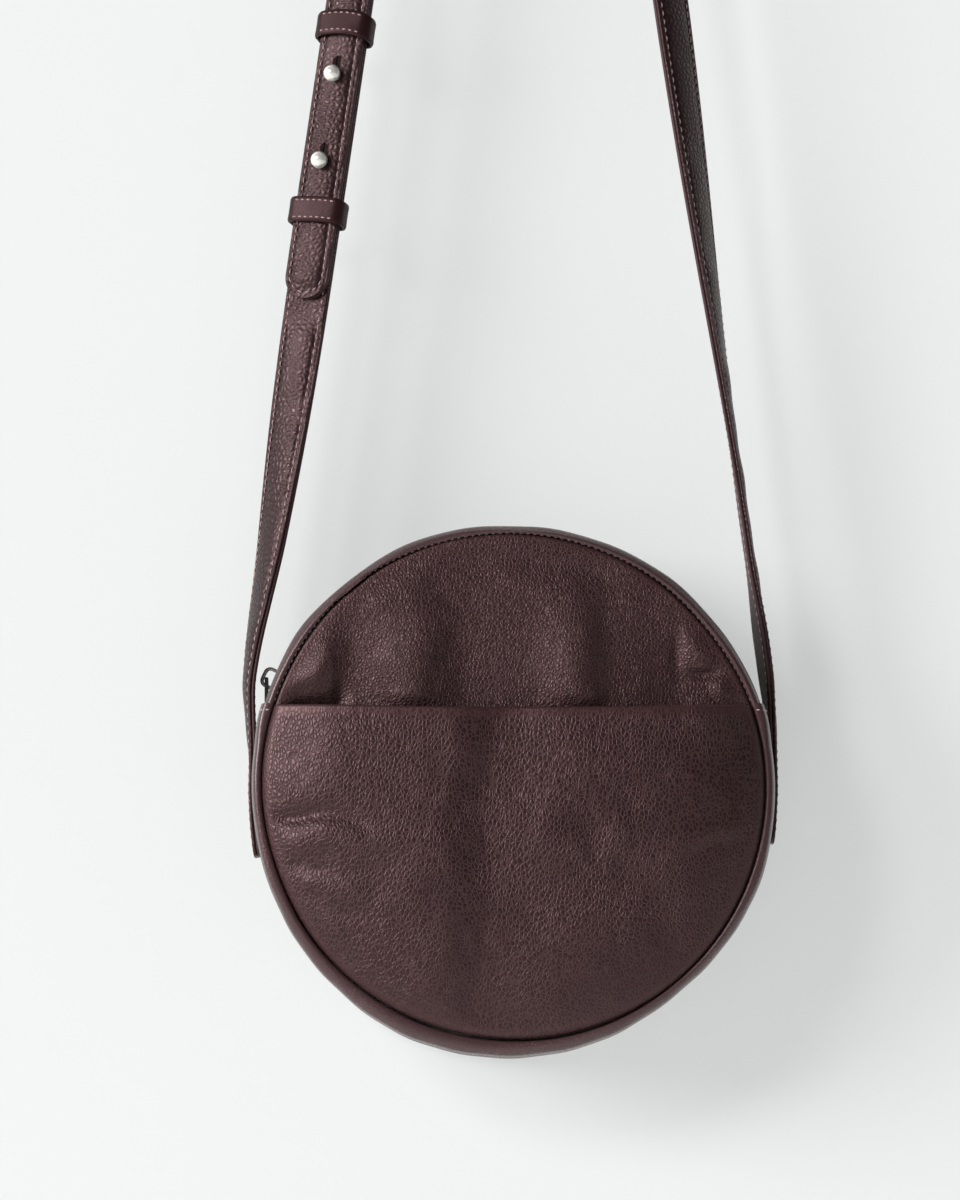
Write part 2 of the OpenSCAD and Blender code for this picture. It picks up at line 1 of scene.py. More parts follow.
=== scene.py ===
# %% [markdown]
# # A round leather bag, made in Blender over a measured frame
# This lesson dresses a round crossbody bag. The frame gives each piece of the bag a place and says how it
# moves. Each step below makes one piece of leather, cloth or metal and lets it ride on the part that
# carries it. All positions are in metres, and the named sizes are in millimetres, as on a pattern.

# %% Load the frame
import math

import bmesh
import bpy
import numpy as np
from mathutils import Matrix, Vector


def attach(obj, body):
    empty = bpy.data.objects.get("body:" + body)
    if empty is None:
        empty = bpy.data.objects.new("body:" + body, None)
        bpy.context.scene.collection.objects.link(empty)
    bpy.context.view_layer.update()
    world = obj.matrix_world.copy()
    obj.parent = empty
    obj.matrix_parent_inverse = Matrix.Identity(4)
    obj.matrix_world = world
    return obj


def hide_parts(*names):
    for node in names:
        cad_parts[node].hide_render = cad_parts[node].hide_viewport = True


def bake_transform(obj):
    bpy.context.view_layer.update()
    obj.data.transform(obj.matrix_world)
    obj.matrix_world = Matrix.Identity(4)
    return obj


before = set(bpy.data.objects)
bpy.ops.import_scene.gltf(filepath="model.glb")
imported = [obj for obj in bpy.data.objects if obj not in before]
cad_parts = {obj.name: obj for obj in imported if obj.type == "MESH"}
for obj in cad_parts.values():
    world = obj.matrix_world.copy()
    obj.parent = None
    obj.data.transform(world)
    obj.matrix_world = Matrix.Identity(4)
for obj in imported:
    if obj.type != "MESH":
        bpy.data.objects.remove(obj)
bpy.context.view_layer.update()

# %% [markdown]
# ## Sizes
# A leather worker starts from a pattern with its sizes written on it. These are the sizes that several
# pieces share. Heights are measured from the middle of the bag, depths from its middle plane towards the
# viewer, so a point of the pattern is (across, height, depth). The soft seams and the rim outside them
# stray a little from a true circle, and two short lists say where.

# %% Shared sizes
MM = 0.001
BAG_MIDDLE = Vector((0, 0, -0.685))
CROWN_R, SEAM_R, HALF_DEPTH = 105.5, 101.5, 30.0
MOUTH_H = 33.0
LEATHER_T, CLOTH_T = 1.4, 0.5
SEAM_EASE = 0.8
SEAM_LUMPS = [(118, 38, 1.8), (310, 30, 0.6), (40, 12, -0.8), (200, 16, -0.7)]
OUTLINE_LUMPS = [(90, 50, -0.9), (90, 8, -0.4), (105, 9, 0.5), (129, 9, -1.5), (200, 8, 0.9), (245, 26, 2.0),
                 (268, 9, 0.5), (310, 24, -0.6), (340, 8, 0.9)]


def ease(value, start, end):
    """0 before start, 1 after end, and a smooth rise between them."""
    t = np.clip((np.asarray(value, float) - start) / (end - start), 0, 1)
    return t * t * (3 - 2 * t)


def lumps(angle, shape):
    """Sum of soft lumps round the bag: each is an angle, a half width in degrees and a size in mm."""
    return sum(size * np.exp(-(((angle - middle + 180) % 360 - 180) / half) ** 2) for middle, half, size in shape)


def at_bag(across, height, depth):
    """Points of the bag's pattern, in millimetres, as places in the scene."""
    across, height, depth = np.broadcast_arrays(*[np.asarray(v, float) for v in (across, height, depth)])
    radius = np.maximum(np.hypot(across, height), 1e-6)
    angle = np.degrees(np.arctan2(height, across))
    stray = (SEAM_EASE + lumps(angle, SEAM_LUMPS)) * ease(radius, 45, 101) \
        + lumps(angle, OUTLINE_LUMPS) * ease(radius, 101.2, 103.8)
    grow = 1 + stray * ease(np.abs(depth), 13, 24) / radius
    return np.stack([across * grow * MM, -depth * MM, BAG_MIDDLE.z + height * grow * MM], axis=-1)


def round_bag(radius, angle, depth, along=0.0):
    """Points at a radius and an angle in degrees; along moves them on, square to the radius."""
    c, s = np.cos(np.radians(angle)), np.sin(np.radians(angle))
    return at_bag(radius * c - along * s, radius * s + along * c, depth)


def hump(across, height, middle, half_sizes, tilt=0.0):
    """A soft round hump, 1 at its middle; tilt turns it, in degrees."""
    a, h = across - middle[0], height - middle[1]
    c, s = math.cos(math.radians(tilt)), math.sin(math.radians(tilt))
    return np.exp(-(((a * c + h * s) / half_sizes[0]) ** 2 + ((h * c - a * s) / half_sizes[1]) ** 2))


def humps(across, height, table):
    """Sum of soft humps: each is a size in mm, its middle, its half sizes and its tilt."""
    return sum(size * hump(across, height, middle, half, tilt) for size, middle, half, tilt in table)


print("mouth of the pocket in the scene:", at_bag(0, MOUTH_H, HALF_DEPTH).round(4))

# %% [markdown]
# ## Camera
# The bag was seen from a little below its middle, so more of the lower rim shows than of the upper one.
# A long lens from 2.4 m keeps the two strands of the strap nearly parallel. The camera aims at the
# middle of the picture, which lies higher than the bag.

# %% Camera
PICTURE_W, PICTURE_H = 960, 1200
BAG_PX, BAG_PY = 513.0, 791.0
PIXEL = 0.409 * MM
CAMERA_REACH, CAMERA_TURN, CAMERA_RISE = 2.4, math.radians(-0.2), math.radians(-3.3)
SENSOR, LENS_SHIFT = 36.0, 0.03


def in_scene(name, data):
    """Puts a mesh, curve, lamp or camera into the scene as an object."""
    holder = bpy.data.objects.new(name, data)
    bpy.context.scene.collection.objects.link(holder)
    return holder


def aim_at(holder, place, target):
    """Puts a camera or lamp at a place and points it at another."""
    holder.location = place
    holder.rotation_mode = "QUATERNION"
    holder.rotation_quaternion = (Vector(target) - Vector(place)).to_track_quat("-Z", "Y")


towards_camera = Vector((math.sin(CAMERA_TURN) * math.cos(CAMERA_RISE),
                         -math.cos(CAMERA_TURN) * math.cos(CAMERA_RISE), math.sin(CAMERA_RISE)))
aim = BAG_MIDDLE + Vector(((PICTURE_W / 2 - BAG_PX) * PIXEL, 0,
                           (BAG_PY - PICTURE_H / 2 - LENS_SHIFT * PICTURE_H) * PIXEL))
camera_data = bpy.data.cameras.new("camera")
camera = in_scene("camera", camera_data)
aim_at(camera, BAG_MIDDLE + towards_camera * CAMERA_REACH, aim)
camera_data.sensor_width = SENSOR
camera_data.lens = SENSOR * (aim - camera.location).length / (PICTURE_H * PIXEL)
camera_data.shift_y = LENS_SHIFT
camera_data.clip_end = 20
bpy.context.scene.camera = camera
print("lens:", round(camera_data.lens, 1), "mm")

# %% [markdown]
# ## Shader helpers
# A finish is a small tree of nodes: patterns, ranges and mixes that lead to one surface. These helpers
# each add one node and hand on its output, so that a finish can be read from top to bottom.

# %% Shader helpers
def put(tree, socket, value):
    """Links another node's output to a socket, or sets the socket to a value."""
    if isinstance(value, bpy.types.NodeSocket):
        tree.links.new(value, socket)
    else:
        socket.default_value = value


def node_of(tree, kind, numbered=None, **named):
    """Adds a shader node. Named values go to its settings or, with a space for each _, to its sockets."""
    node = tree.nodes.new(kind)
    for key, value in named.items():
        label = key.replace("_", " ")
        if label in node.inputs:
            put(tree, node.inputs[label], value)
        else:
            setattr(node, key, value)
    for number, value in (numbered or {}).items():
        put(tree, node.inputs[number], value)
    return node


def maths(tree, operation, first, second):
    return node_of(tree, "ShaderNodeMath", {0: first, 1: second}, operation=operation).outputs[0]


def vectors(tree, operation, *values):
    return node_of(tree, "ShaderNodeVectorMath", dict(enumerate(values)), operation=operation).outputs[0]


def noise(tree, place, scale, detail, roughness=0.5, output="Fac"):
    return node_of(tree, "ShaderNodeTexNoise", Vector=place, Scale=scale, Detail=detail,
                   Roughness=roughness).outputs[output]


def spread(tree, value, old, new=(0.0, 1.0), kind="LINEAR"):
    """Takes a value from an old range to a new one."""
    return node_of(tree, "ShaderNodeMapRange", Value=value, From_Min=old[0], From_Max=old[1], To_Min=new[0],
                   To_Max=new[1], interpolation_type=kind).outputs[0]


def tone_between(tree, share, *tones):
    """A colour between two, each given as a colour or as another node's output."""
    first, second = [t if isinstance(t, bpy.types.NodeSocket) else (*t, 1) for t in tones]
    return node_of(tree, "ShaderNodeMix", {0: share, 6: first, 7: second}, data_type="RGBA").outputs[2]


def shader_between(tree, share, first, second):
    return node_of(tree, "ShaderNodeMixShader", {0: share, 1: first, 2: second}).outputs[0]


def bumps(tree, height, depth_mm, strength=1.0, **under):
    return node_of(tree, "ShaderNodeBump", Height=height, Distance=depth_mm * MM, Strength=strength,
                   **under).outputs[0]


def object_place(tree):
    return tree.nodes.new("ShaderNodeTexCoord").outputs["Object"]


def new_finish(name):
    material = bpy.data.materials.new(name)
    material.use_nodes = True
    material.node_tree.nodes.clear()
    return material, material.node_tree


def surface(tree, colour, normal, **values):
    """Ends a finish: its colour, its small bumps and how it shines."""
    skin = node_of(tree, "ShaderNodeBsdfPrincipled", Base_Color=colour, Normal=normal, **values)
    node_of(tree, "ShaderNodeOutputMaterial", Surface=skin.outputs[0])


print("shader helpers ready")

# %% [markdown]
# ## Studio
# The bag hangs in front of a pale wall that runs down into a floor. The wall is drawn only from its front
# and holds no light back, so that the bag can be looked at from behind as well. Seen directly, it glows a
# little, which keeps the background pale and even.

# %% Backdrop
WALL_GAP, FLOOR_Z, COVE_R = 0.0325, -1.02, 0.18
STAGE_HALF_W, STAGE_REACH, STAGE_TOP = 3.2, 3.4, 2.2
COVE_STEPS = 12
PAPER_LIT, PAPER_SEEN, PAPER_GLOW = (0.76, 0.775, 0.77, 1), (0.872, 0.89, 0.881, 1), 0.52


def backdrop_paper():
    material, tree = new_finish("backdrop_paper")
    lit = node_of(tree, "ShaderNodeBsdfDiffuse", Color=PAPER_LIT).outputs[0]
    glow = node_of(tree, "ShaderNodeEmission", Color=PAPER_SEEN, Strength=1.0).outputs[0]
    ray = tree.nodes.new("ShaderNodeLightPath").outputs
    seen = maths(tree, "MAXIMUM", ray["Is Camera Ray"], ray["Is Glossy Ray"])
    paper = shader_between(tree, maths(tree, "MULTIPLY", seen, PAPER_GLOW), lit, glow)
    behind = tree.nodes.new("ShaderNodeNewGeometry").outputs["Backfacing"]
    clear = tree.nodes.new("ShaderNodeBsdfTransparent").outputs[0]
    through = maths(tree, "MAXIMUM", behind, ray["Is Shadow Ray"])
    node_of(tree, "ShaderNodeOutputMaterial", Surface=shader_between(tree, through, paper, clear))
    return material


profile = [(STAGE_TOP, WALL_GAP)]
for a in np.radians(np.linspace(0, 90, COVE_STEPS + 1)):
    profile.append((FLOOR_Z + COVE_R - COVE_R * math.sin(a), WALL_GAP - COVE_R + COVE_R * math.cos(a)))
profile.append((FLOOR_Z, WALL_GAP - STAGE_REACH))
wall_mesh = bpy.data.meshes.new("backdrop")
wall_mesh.from_pydata(
    [(x, y, z) for z, y in profile for x in (-STAGE_HALF_W, STAGE_HALF_W)], [],
    [(2 * k, 2 * k + 2, 2 * k + 3, 2 * k + 1) for k in range(len(profile) - 1)])
wall_mesh.materials.append(backdrop_paper())
wall_mesh.polygons.foreach_set("use_smooth", [True] * len(wall_mesh.polygons))
backdrop = in_scene("backdrop", wall_mesh)
print("the wall faces the viewer:", wall_mesh.polygons[0].normal.y < 0)

# %% [markdown]
# ## Light
# One soft lamp in front and to the left throws the shadow. A large one stands far to the left like a
# window, so that dark leather shows its soft folds. A third lights the back, and a faint glow from the
# floor lifts the lower rim.

# %% Lamps and world
LAMPS = [("key_lamp", (-2.3, -3.0, 1.05), (0, 0, -0.6), 56.0, 1.0),
         ("window_lamp", (-8.9, -4.7, 1.9), (0, 0, -0.6), 1080.0, 4.4),
         ("back_lamp", (0.2, 3.2, 0.2), (0, 0, -0.6), 34.0, 1.4),
         ("floor_glow", (-0.3, -0.75, -2.3), (0, 0, -0.75), 8.0, 1.0)]
SKY_TONE, SKY_STRENGTH = (0.95, 0.98, 1, 1), 0.16

for name, place, target, power, size in LAMPS:
    lamp = bpy.data.lights.new(name, "AREA")
    lamp.shape, lamp.size, lamp.energy = "DISK", size, power
    aim_at(in_scene(name, lamp), place, target)
world = bpy.data.worlds.new("studio")
bpy.context.scene.world = world
world.use_nodes = True
sky = world.node_tree
sky.nodes.clear()
sky_light = node_of(sky, "ShaderNodeBackground", Color=SKY_TONE, Strength=SKY_STRENGTH).outputs[0]
sky_seen = node_of(sky, "ShaderNodeBackground", Color=PAPER_SEEN, Strength=1.0).outputs[0]
sky_ray = sky.nodes.new("ShaderNodeLightPath").outputs["Is Camera Ray"]
node_of(sky, "ShaderNodeOutputWorld", Surface=shader_between(sky, sky_ray, sky_light, sky_seen))
bpy.context.scene.view_settings.view_transform = "Standard"

# %% [markdown]
# ## Leather
# Tumbled leather has small round pebbles, parted by fine valleys, and wide soft changes of tone. The
# pebbles could be painted on a picture, but then they would blur when you come near. Here Blender's cell
# and cloud patterns make them, so they stay sharp at any distance. A value stored in the mesh makes the
# leather a little lighter and glossier: partly wear where it is rubbed, partly a painted highlight along the
# rim, the pocket's lip and the strap's edges. The strap twists, so its pebbles follow a second stored
# value, laid, which says where each point lies on the flat strap.

# %% Leather finishes
CLOUD_SCALE, WARP_SCALE, PORE_SCALE = 24.0, 190.0, 2600.0
LEATHER_TINT, COAT_ROUGHNESS, RUB_AND_SHEEN_GAIN = (1.0, 0.64, 0.66, 1), 0.24, 1.9


def leather_finish(name, deep, lit, valley, pebble_mm=1.5, pebble_depth_mm=0.24, gloss=0.37, stretch=(1, 1, 1),
                   skin_mm=0.02, valley_width=0.18, coat=0.0, wobble=0.9, laid=False, shine=0.5):
    """deep and lit are the tones of the pebbles' tops, valley the tone between them, gloss the roughness."""
    material, tree = new_finish(name)
    place = object_place(tree)
    if laid:
        place = node_of(tree, "ShaderNodeAttribute", attribute_name="laid").outputs["Vector"]
    drawn = vectors(tree, "MULTIPLY", place, stretch)
    warp = noise(tree, drawn, WARP_SCALE, 2.0, output="Color")
    pulled = vectors(tree, "MULTIPLY_ADD", warp, (wobble * pebble_mm * MM,) * 3, drawn)
    pebbles = node_of(tree, "ShaderNodeTexVoronoi", feature="DISTANCE_TO_EDGE", Vector=pulled,
                      voronoi_dimensions="2D" if laid else "3D", Scale=1000 / pebble_mm).outputs["Distance"]
    groove = spread(tree, pebbles, (0.0, valley_width), kind="SMOOTHSTEP")
    dome = spread(tree, pebbles, (0.0, 0.5), kind="SMOOTHSTEP")
    clouds = noise(tree, place, CLOUD_SCALE, 4.0, 0.6)
    rub_and_sheen = node_of(tree, "ShaderNodeAttribute", attribute_name="rub_and_sheen").outputs["Fac"]
    strength = maths(tree, "MULTIPLY", spread(tree, clouds, (0.32, 0.68), (0.16, 0.74)),
                     spread(tree, rub_and_sheen, (0.1, 0.5), (1.0, 0.3)))
    grain = bumps(tree, maths(tree, "MULTIPLY", maths(tree, "ADD", groove, dome), strength), pebble_depth_mm)
    skin = bumps(tree, noise(tree, place, PORE_SCALE, 2.0, 0.6), skin_mm, Normal=grain)
    top = tone_between(tree, spread(tree, clouds, (0.36, 0.64)), deep, lit)
    # lighter tone from the stored value: wear, and partly a painted highlight on the rim, the lip and the strap's
    # edges
    rub_and_sheen_tone = tone_between(tree, rub_and_sheen, tone_between(tree, groove, valley, top), [min(1.0, RUB_AND_SHEEN_GAIN * c) for c in lit])
    surface(tree, rub_and_sheen_tone, skin, Roughness=spread(tree, groove, (0.0, 1.0), (gloss + 0.16, gloss)),
            Specular_IOR_Level=shine, Specular_Tint=LEATHER_TINT, Coat_Weight=coat, Coat_Roughness=COAT_ROUGHNESS)
    return material


PLUM = (0.0118, 0.0043, 0.0047), (0.0230, 0.0090, 0.0096), (0.036, 0.0170, 0.0170)
bag_leather = leather_finish("bag_leather", *PLUM, pebble_mm=1.4, pebble_depth_mm=0.21)
pocket_leather = leather_finish("pocket_leather", *PLUM, pebble_depth_mm=0.21, stretch=(1.0, 1.0, 0.7))
# The rim is the same leather as the bag. Its tones, about three times lighter, are painted sheen, and its coat makes
# it glossier.
rim_leather_painted_sheen = leather_finish("rim_leather_painted_sheen", (0.037, 0.0165, 0.018), (0.066, 0.033, 0.0355), (0.035, 0.016, 0.017),
                             pebble_depth_mm=0.08, gloss=0.31, valley_width=0.3, coat=0.4)
keeper_leather = leather_finish("keeper_leather", (0.0125, 0.0034, 0.0043), (0.0190, 0.0058, 0.0068),
                                (0.0110, 0.0032, 0.0040), pebble_mm=0.8, pebble_depth_mm=0.03, gloss=0.38, shine=0.26)
strap_leather = leather_finish("strap_leather", (0.0165, 0.0066, 0.0072), (0.0320, 0.0150, 0.0162),
                               (0.0072, 0.0027, 0.0030), pebble_mm=2.3, pebble_depth_mm=0.2, gloss=0.33,
                               valley_width=0.46, wobble=0.3, skin_mm=0.006, laid=True, shine=0.42)
backing_leather = leather_finish("backing_leather", (0.020, 0.0100, 0.0112), (0.034, 0.0178, 0.0198),
                                 (0.018, 0.0092, 0.0104), pebble_mm=0.7, pebble_depth_mm=0.04, gloss=0.46)
print("leathers:", [m.name for m in bpy.data.materials if "leather" in m.name])

# %% [markdown]
# ## Thread, cloth and metal
# The thread is a twisted cord: fine slanted bands give it its twist. The lining is a plain weave of two
# crossing wave patterns, and the zip's tape is the same weave, but tighter and darker. The metal is
# brushed: stretched noise moves its roughness along fine lines.

# %% Thread, cloth and metal finishes
BRUSH_STRETCH = (900, 900, 9000)


def weave_finish(name, dark, light, threads_per_mm, depth_mm, roughness):
    material, tree = new_finish(name)
    place = object_place(tree)
    cross = maths(tree, "MAXIMUM", *[
        node_of(tree, "ShaderNodeTexWave", Vector=place, bands_direction=direction, Scale=threads_per_mm * 160,
                Distortion=0.6, Detail=1.0).outputs["Fac"] for direction in ("X", "Z")])
    tone = tone_between(tree, maths(tree, "MULTIPLY", cross, noise(tree, place, 60.0, 3.0)), dark, light)
    surface(tree, tone, bumps(tree, cross, depth_mm, 0.7), Roughness=roughness, Specular_IOR_Level=0.25,
            Sheen_Weight=0.25)
    return material


def metal_finish(name, dark, light, roughness, metallic=1.0):
    material, tree = new_finish(name)
    place = object_place(tree)
    drawn = node_of(tree, "ShaderNodeMapping", Vector=place, Scale=BRUSH_STRETCH).outputs[0]
    lines = noise(tree, drawn, 1.0, 3.0)
    surface(tree, tone_between(tree, noise(tree, place, 420.0, 2.0), dark, light), bumps(tree, lines, 0.05, 0.08),
            Roughness=spread(tree, lines, (0.0, 1.0), (roughness * 0.7, roughness * 1.4)), Metallic=metallic)
    return material


def thread_finish(name, dark, light):
    material, tree = new_finish(name)
    twist = node_of(tree, "ShaderNodeTexWave", Vector=object_place(tree), bands_direction="DIAGONAL", Scale=900.0,
                    Distortion=1.5).outputs["Fac"]
    surface(tree, tone_between(tree, twist, dark, light), bumps(tree, twist, 0.05, 0.5), Roughness=0.55,
            Sheen_Weight=0.2)
    return material


lining_cloth = weave_finish("lining_cloth", (0.10, 0.082, 0.08), (0.23, 0.19, 0.185), 2.2, 0.12, 0.85)
tape_cloth = weave_finish("tape_cloth", (0.012, 0.008, 0.010), (0.035, 0.022, 0.026), 2.8, 0.15, 0.8)
dark_metal = metal_finish("dark_metal", (0.06, 0.06, 0.062), (0.15, 0.15, 0.15), 0.3)
grey_metal = metal_finish("grey_metal", (0.24, 0.24, 0.22), (0.42, 0.41, 0.38), 0.26)
pale_metal = metal_finish("pale_metal", (0.80, 0.785, 0.72), (0.95, 0.94, 0.87), 0.24, metallic=0.6)
rose_thread = thread_finish("rose_thread", (0.20, 0.115, 0.112), (0.50, 0.325, 0.32))
pale_thread = thread_finish("pale_thread", (0.30, 0.20, 0.20), (0.62, 0.46, 0.46))
plum_thread = thread_finish("plum_thread", (0.03, 0.013, 0.013), (0.10, 0.052, 0.05))
print("finishes:", len(bpy.data.materials))

# %% [markdown]
# ## From a grid of points to a piece of leather
# A cut panel is a thin sheet with two faces and an edge. The helper shell takes a grid of points on its
# outer face, measures which way each point looks, and sets the inner face one thickness behind. The edge
# gets a middle line that stands out a little, so that it looks cut and burnished instead of sharp. Tubes
# and bars are grids that close on themselves, with a cap at both ends.

# %% Mesh helpers
EDGE_ROUND = 0.3


def new_piece(name, points, faces, material, crease=55):
    """A piece from points and faces; all its faces are turned to look outwards."""
    mesh = bpy.data.meshes.new(name)
    mesh.from_pydata([tuple(p) for p in points], [], faces)
    shape = bmesh.new()
    shape.from_mesh(mesh)
    bmesh.ops.recalc_face_normals(shape, faces=shape.faces)
    if shape.calc_volume(signed=True) < 0:
        bmesh.ops.reverse_faces(shape, faces=shape.faces)
    shape.to_mesh(mesh)
    shape.free()
    mesh.materials.append(material)
    mesh.polygons.foreach_set("use_smooth", [True] * len(mesh.polygons))
    mesh.set_sharp_from_angle(angle=math.radians(crease))
    mesh.update()
    return in_scene(name, mesh)


def store(piece, name, values, kind="FLOAT", field="value"):
    """Keeps a value for each point of a piece, which a finish can read."""
    held = piece.data.attributes.new(name, kind, "POINT")
    held.data.foreach_set(field, values.astype(np.float32).reshape(-1))


def unit(directions):
    """Directions with a length of 1."""
    return directions / np.maximum(np.linalg.norm(directions, axis=-1, keepdims=True), 1e-12)


def grid_normals(grid, wrap=False):
    """Unit vectors square to a grid of points, rows by columns."""
    if wrap:
        wide = np.concatenate([grid[:, -1:], grid, grid[:, :1]], axis=1)
        across = np.gradient(wide, axis=1)[:, 1:-1]
    else:
        across = np.gradient(grid, axis=1)
    return unit(np.cross(np.gradient(grid, axis=0), across))


def grid_faces(rows, cols, wrap=False):
    last = cols if wrap else cols - 1
    return [(r * cols + c, r * cols + (c + 1) % cols, (r + 1) * cols + (c + 1) % cols, (r + 1) * cols + c)
            for r in range(rows - 1) for c in range(last)]


def tube_faces(rows, cols):
    """Faces of a tube of rings, with a cap at both ends."""
    caps = [tuple(range(cols))[::-1], tuple(range((rows - 1) * cols, rows * cols))]
    return grid_faces(rows, cols, wrap=True) + caps


def edge_loops(rows, cols, wrap):
    """The places round the edge of a grid, as one loop, or as two where the grid closes on itself."""
    low, high = [(0, c) for c in range(cols)], [(rows - 1, c) for c in reversed(range(cols))]
    if wrap:
        return [low, high]
    return [low + [(r, cols - 1) for r in range(1, rows)] + high[1:] + [(r, 0) for r in reversed(range(1, rows - 1))]]


def shell(name, outer, thickness_mm, material, middle=BAG_MIDDLE, wrap=False, rub_and_sheen=None):
    """A sheet of leather or cloth from the grid of its outer face."""
    rows, cols = outer.shape[:2]
    look = grid_normals(outer, wrap)
    if np.sum(look * (outer - np.array(middle))) < 0:
        outer = outer[:, ::-1]
        look = grid_normals(outer, wrap)
        rub_and_sheen = None if rub_and_sheen is None else rub_and_sheen[:, ::-1]
    t = thickness_mm * MM
    count = rows * cols
    base = 2 * count
    outside, inside = outer.reshape(-1, 3), (outer - look * t).reshape(-1, 3)
    points = [outside, inside]
    front = grid_faces(rows, cols, wrap)
    faces = front + [tuple(reversed([i + count for i in f])) for f in front]
    for loop in edge_loops(rows, cols, wrap):
        ids = np.array([r * cols + c for r, c in loop])
        inward = np.array([min(max(r, 1), rows - 2) * cols + (c if wrap else min(max(c, 1), cols - 2))
                           for r, c in loop])
        points.append((outside[ids] + inside[ids]) / 2 + unit(outside[ids] - outside[inward]) * t * EDGE_ROUND)
        for a in range(len(ids)):
            b = (a + 1) % len(ids)
            faces.append((ids[b], ids[a], base + a, base + b))
            faces.append((base + b, base + a, ids[a] + count, ids[b] + count))
        base += len(ids)
    piece = new_piece(name, np.concatenate(points), [tuple(int(i) for i in f) for f in faces], material)
    if rub_and_sheen is not None:
        store(piece, "rub_and_sheen", np.concatenate([rub_and_sheen.reshape(-1), np.zeros(len(piece.data.vertices) - count)]))
    return piece


print("mesh helpers ready")

# %% [markdown]
# ## Carried by the frame
# Every piece is printed, hides the plain solids of the frame that it takes the place of, and is carried by a
# body. Soft pieces that cross a hinge, such as the front, which opens with the mouth, and the ends of the
# strap, where the bag swings under it, are not carried by a body: their place is only baked into their points.


def flap_blend(piece):
    """Bakes the piece's place into its points; no body carries it, and it does not bend with the mouth."""
    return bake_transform(piece)


def swing_blend(piece):
    """Bakes the piece's place into its points; no body carries it, and it does not bend where the bag swings."""
    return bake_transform(piece)


def told(piece):
    """Prints what was made, and hands it on."""
    size = np.array([v.co for v in piece.data.vertices])
    print(piece.name, len(size), "points, reaches", (size.max(0) - size.min(0)).round(4))
    return piece


def carry(piece, carrier):
    """carrier is a body's name or a blend between two bodies."""
    if isinstance(carrier, str):
        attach(piece, carrier)
    else:
        carrier(piece)


def dress(piece, slot, carrier, *nodes):
    """Prints the piece, hides the frame's solids it replaces and hands it to its carrier; carrier is None for a piece
    that isn't ready yet.
    """
    told(piece)
    if nodes:
        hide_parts(*nodes)
    if carrier:
        carry(piece, carrier)
    return piece


MOUTH_HALVES = (("front", 1, flap_blend), ("back", -1, "bag"))

# %% [markdown]
# ## Discs and small unevenness
# The round panels are square grids pulled out to a disc, with closer points towards the seam. Fine lumps
# come from a net of random heights with smooth ground between them. The net is the same in each run.

# %% Disc and unevenness
LATTICE, CROWD_PULL = 97, 0.9


def crowded(count):
    """Values from -1 to 1 that lie closer together near both ends."""
    return np.sin(np.linspace(-1, 1, count) * math.pi / 2 * CROWD_PULL) / math.sin(math.pi / 2 * CROWD_PULL)


def disc_grid(radius, count):
    """Across and height of a square grid that is pulled out to a disc."""
    a, b = np.meshgrid(crowded(count), crowded(count), indexing="xy")
    return radius * a * np.sqrt(1 - b * b / 2), radius * b * np.sqrt(1 - a * a / 2)


def rough(a, h, size, seed):
    """Smooth random heights from -1 to 1, with lumps of a given size in millimetres."""
    lattice = np.random.RandomState(seed).uniform(-1, 1, (LATTICE, LATTICE))
    u = (0.8 * a + 0.6 * h) / size + 300 + 0.35 * np.sin(h / size * 1.3)
    v = (-0.6 * a + 0.8 * h) / size + 300 + 0.35 * np.sin(a / size * 1.1)
    i, j = np.floor(u).astype(int), np.floor(v).astype(int)
    p, q = ease(u - i, 0, 1), ease(v - j, 0, 1)
    at = lambda m, n: lattice[m % LATTICE, n % LATTICE]
    return (at(i, j) * (1 - p) + at(i + 1, j) * p) * (1 - q) + (at(i, j + 1) * (1 - p) + at(i + 1, j + 1) * p) * q


print("a disc of 5 by 5 points reaches", disc_grid(SEAM_R, 5)[0].max().round(1), "mm")

# %% [markdown]
# ## Stitches
# A topstitch is a row of short thread lengths, each dipping into the leather at both ends. Each one is a
# small tube, thickest in its middle. A row follows a line of points on the leather, with the direction in
# which the leather looks at each of them.

# %% Stitch rows
STITCH_RINGS, STITCH_SIDES = 5, 6
STITCH_SINK, STITCH_STEP = 0.2, 0.0004


def stitch_row(name, points, looks, material, pitch_mm=3.5, length_mm=2.7, thick_mm=0.6):
    points, looks = np.asarray(points, float), np.asarray(looks, float)
    run = np.concatenate([[0], np.cumsum(np.linalg.norm(np.diff(points, axis=0), axis=1))])
    along = lambda s, values: np.array([np.interp(s, run, values[:, i]) for i in range(3)])
    count = max(1, int(run[-1] / (pitch_mm * MM)))
    angles = np.arange(STITCH_SIDES) * 2 * math.pi / STITCH_SIDES
    verts, faces = [], []
    for k in range(count):
        faces += [tuple(len(verts) + i for i in f) for f in tube_faces(STITCH_RINGS, STITCH_SIDES)]
        for share in np.linspace(-1, 1, STITCH_RINGS):
            s = (k + 0.5) / count * run[-1] + share * length_mm * MM / 2
            look = unit(along(s, looks))
            ahead = along(s + STITCH_STEP, points) - along(s - STITCH_STEP, points)
            side = unit(np.cross(look, unit(ahead)))
            thick = thick_mm * MM / 2 * math.sqrt(max(0.06, 1 - 0.9 * share * share))
            lift = (thick_mm * 0.12 - STITCH_SINK * share * share * 2.2) * MM
            verts += [along(s, points) + look * (lift + thick * math.sin(a)) + side * thick * math.cos(a)
                      for a in angles]
    print(name, count, "stitches")
    return new_piece(name, verts, faces, material)


print("a stitch has", STITCH_RINGS * STITCH_SIDES, "points")

# %% [markdown]
# ## Front panel
# One round panel of soft leather makes the bag's front. Its upper part shows above the pocket, and the
# rest is hidden behind it. A real one is cut flat and bulges as the bag is filled, with soft upright
# dents where a hand has pressed it and short creases that fan out from the side seams. It is easiest to
# say how far each point stands forward, so the panel is a disc of points moved by folds and soft humps.

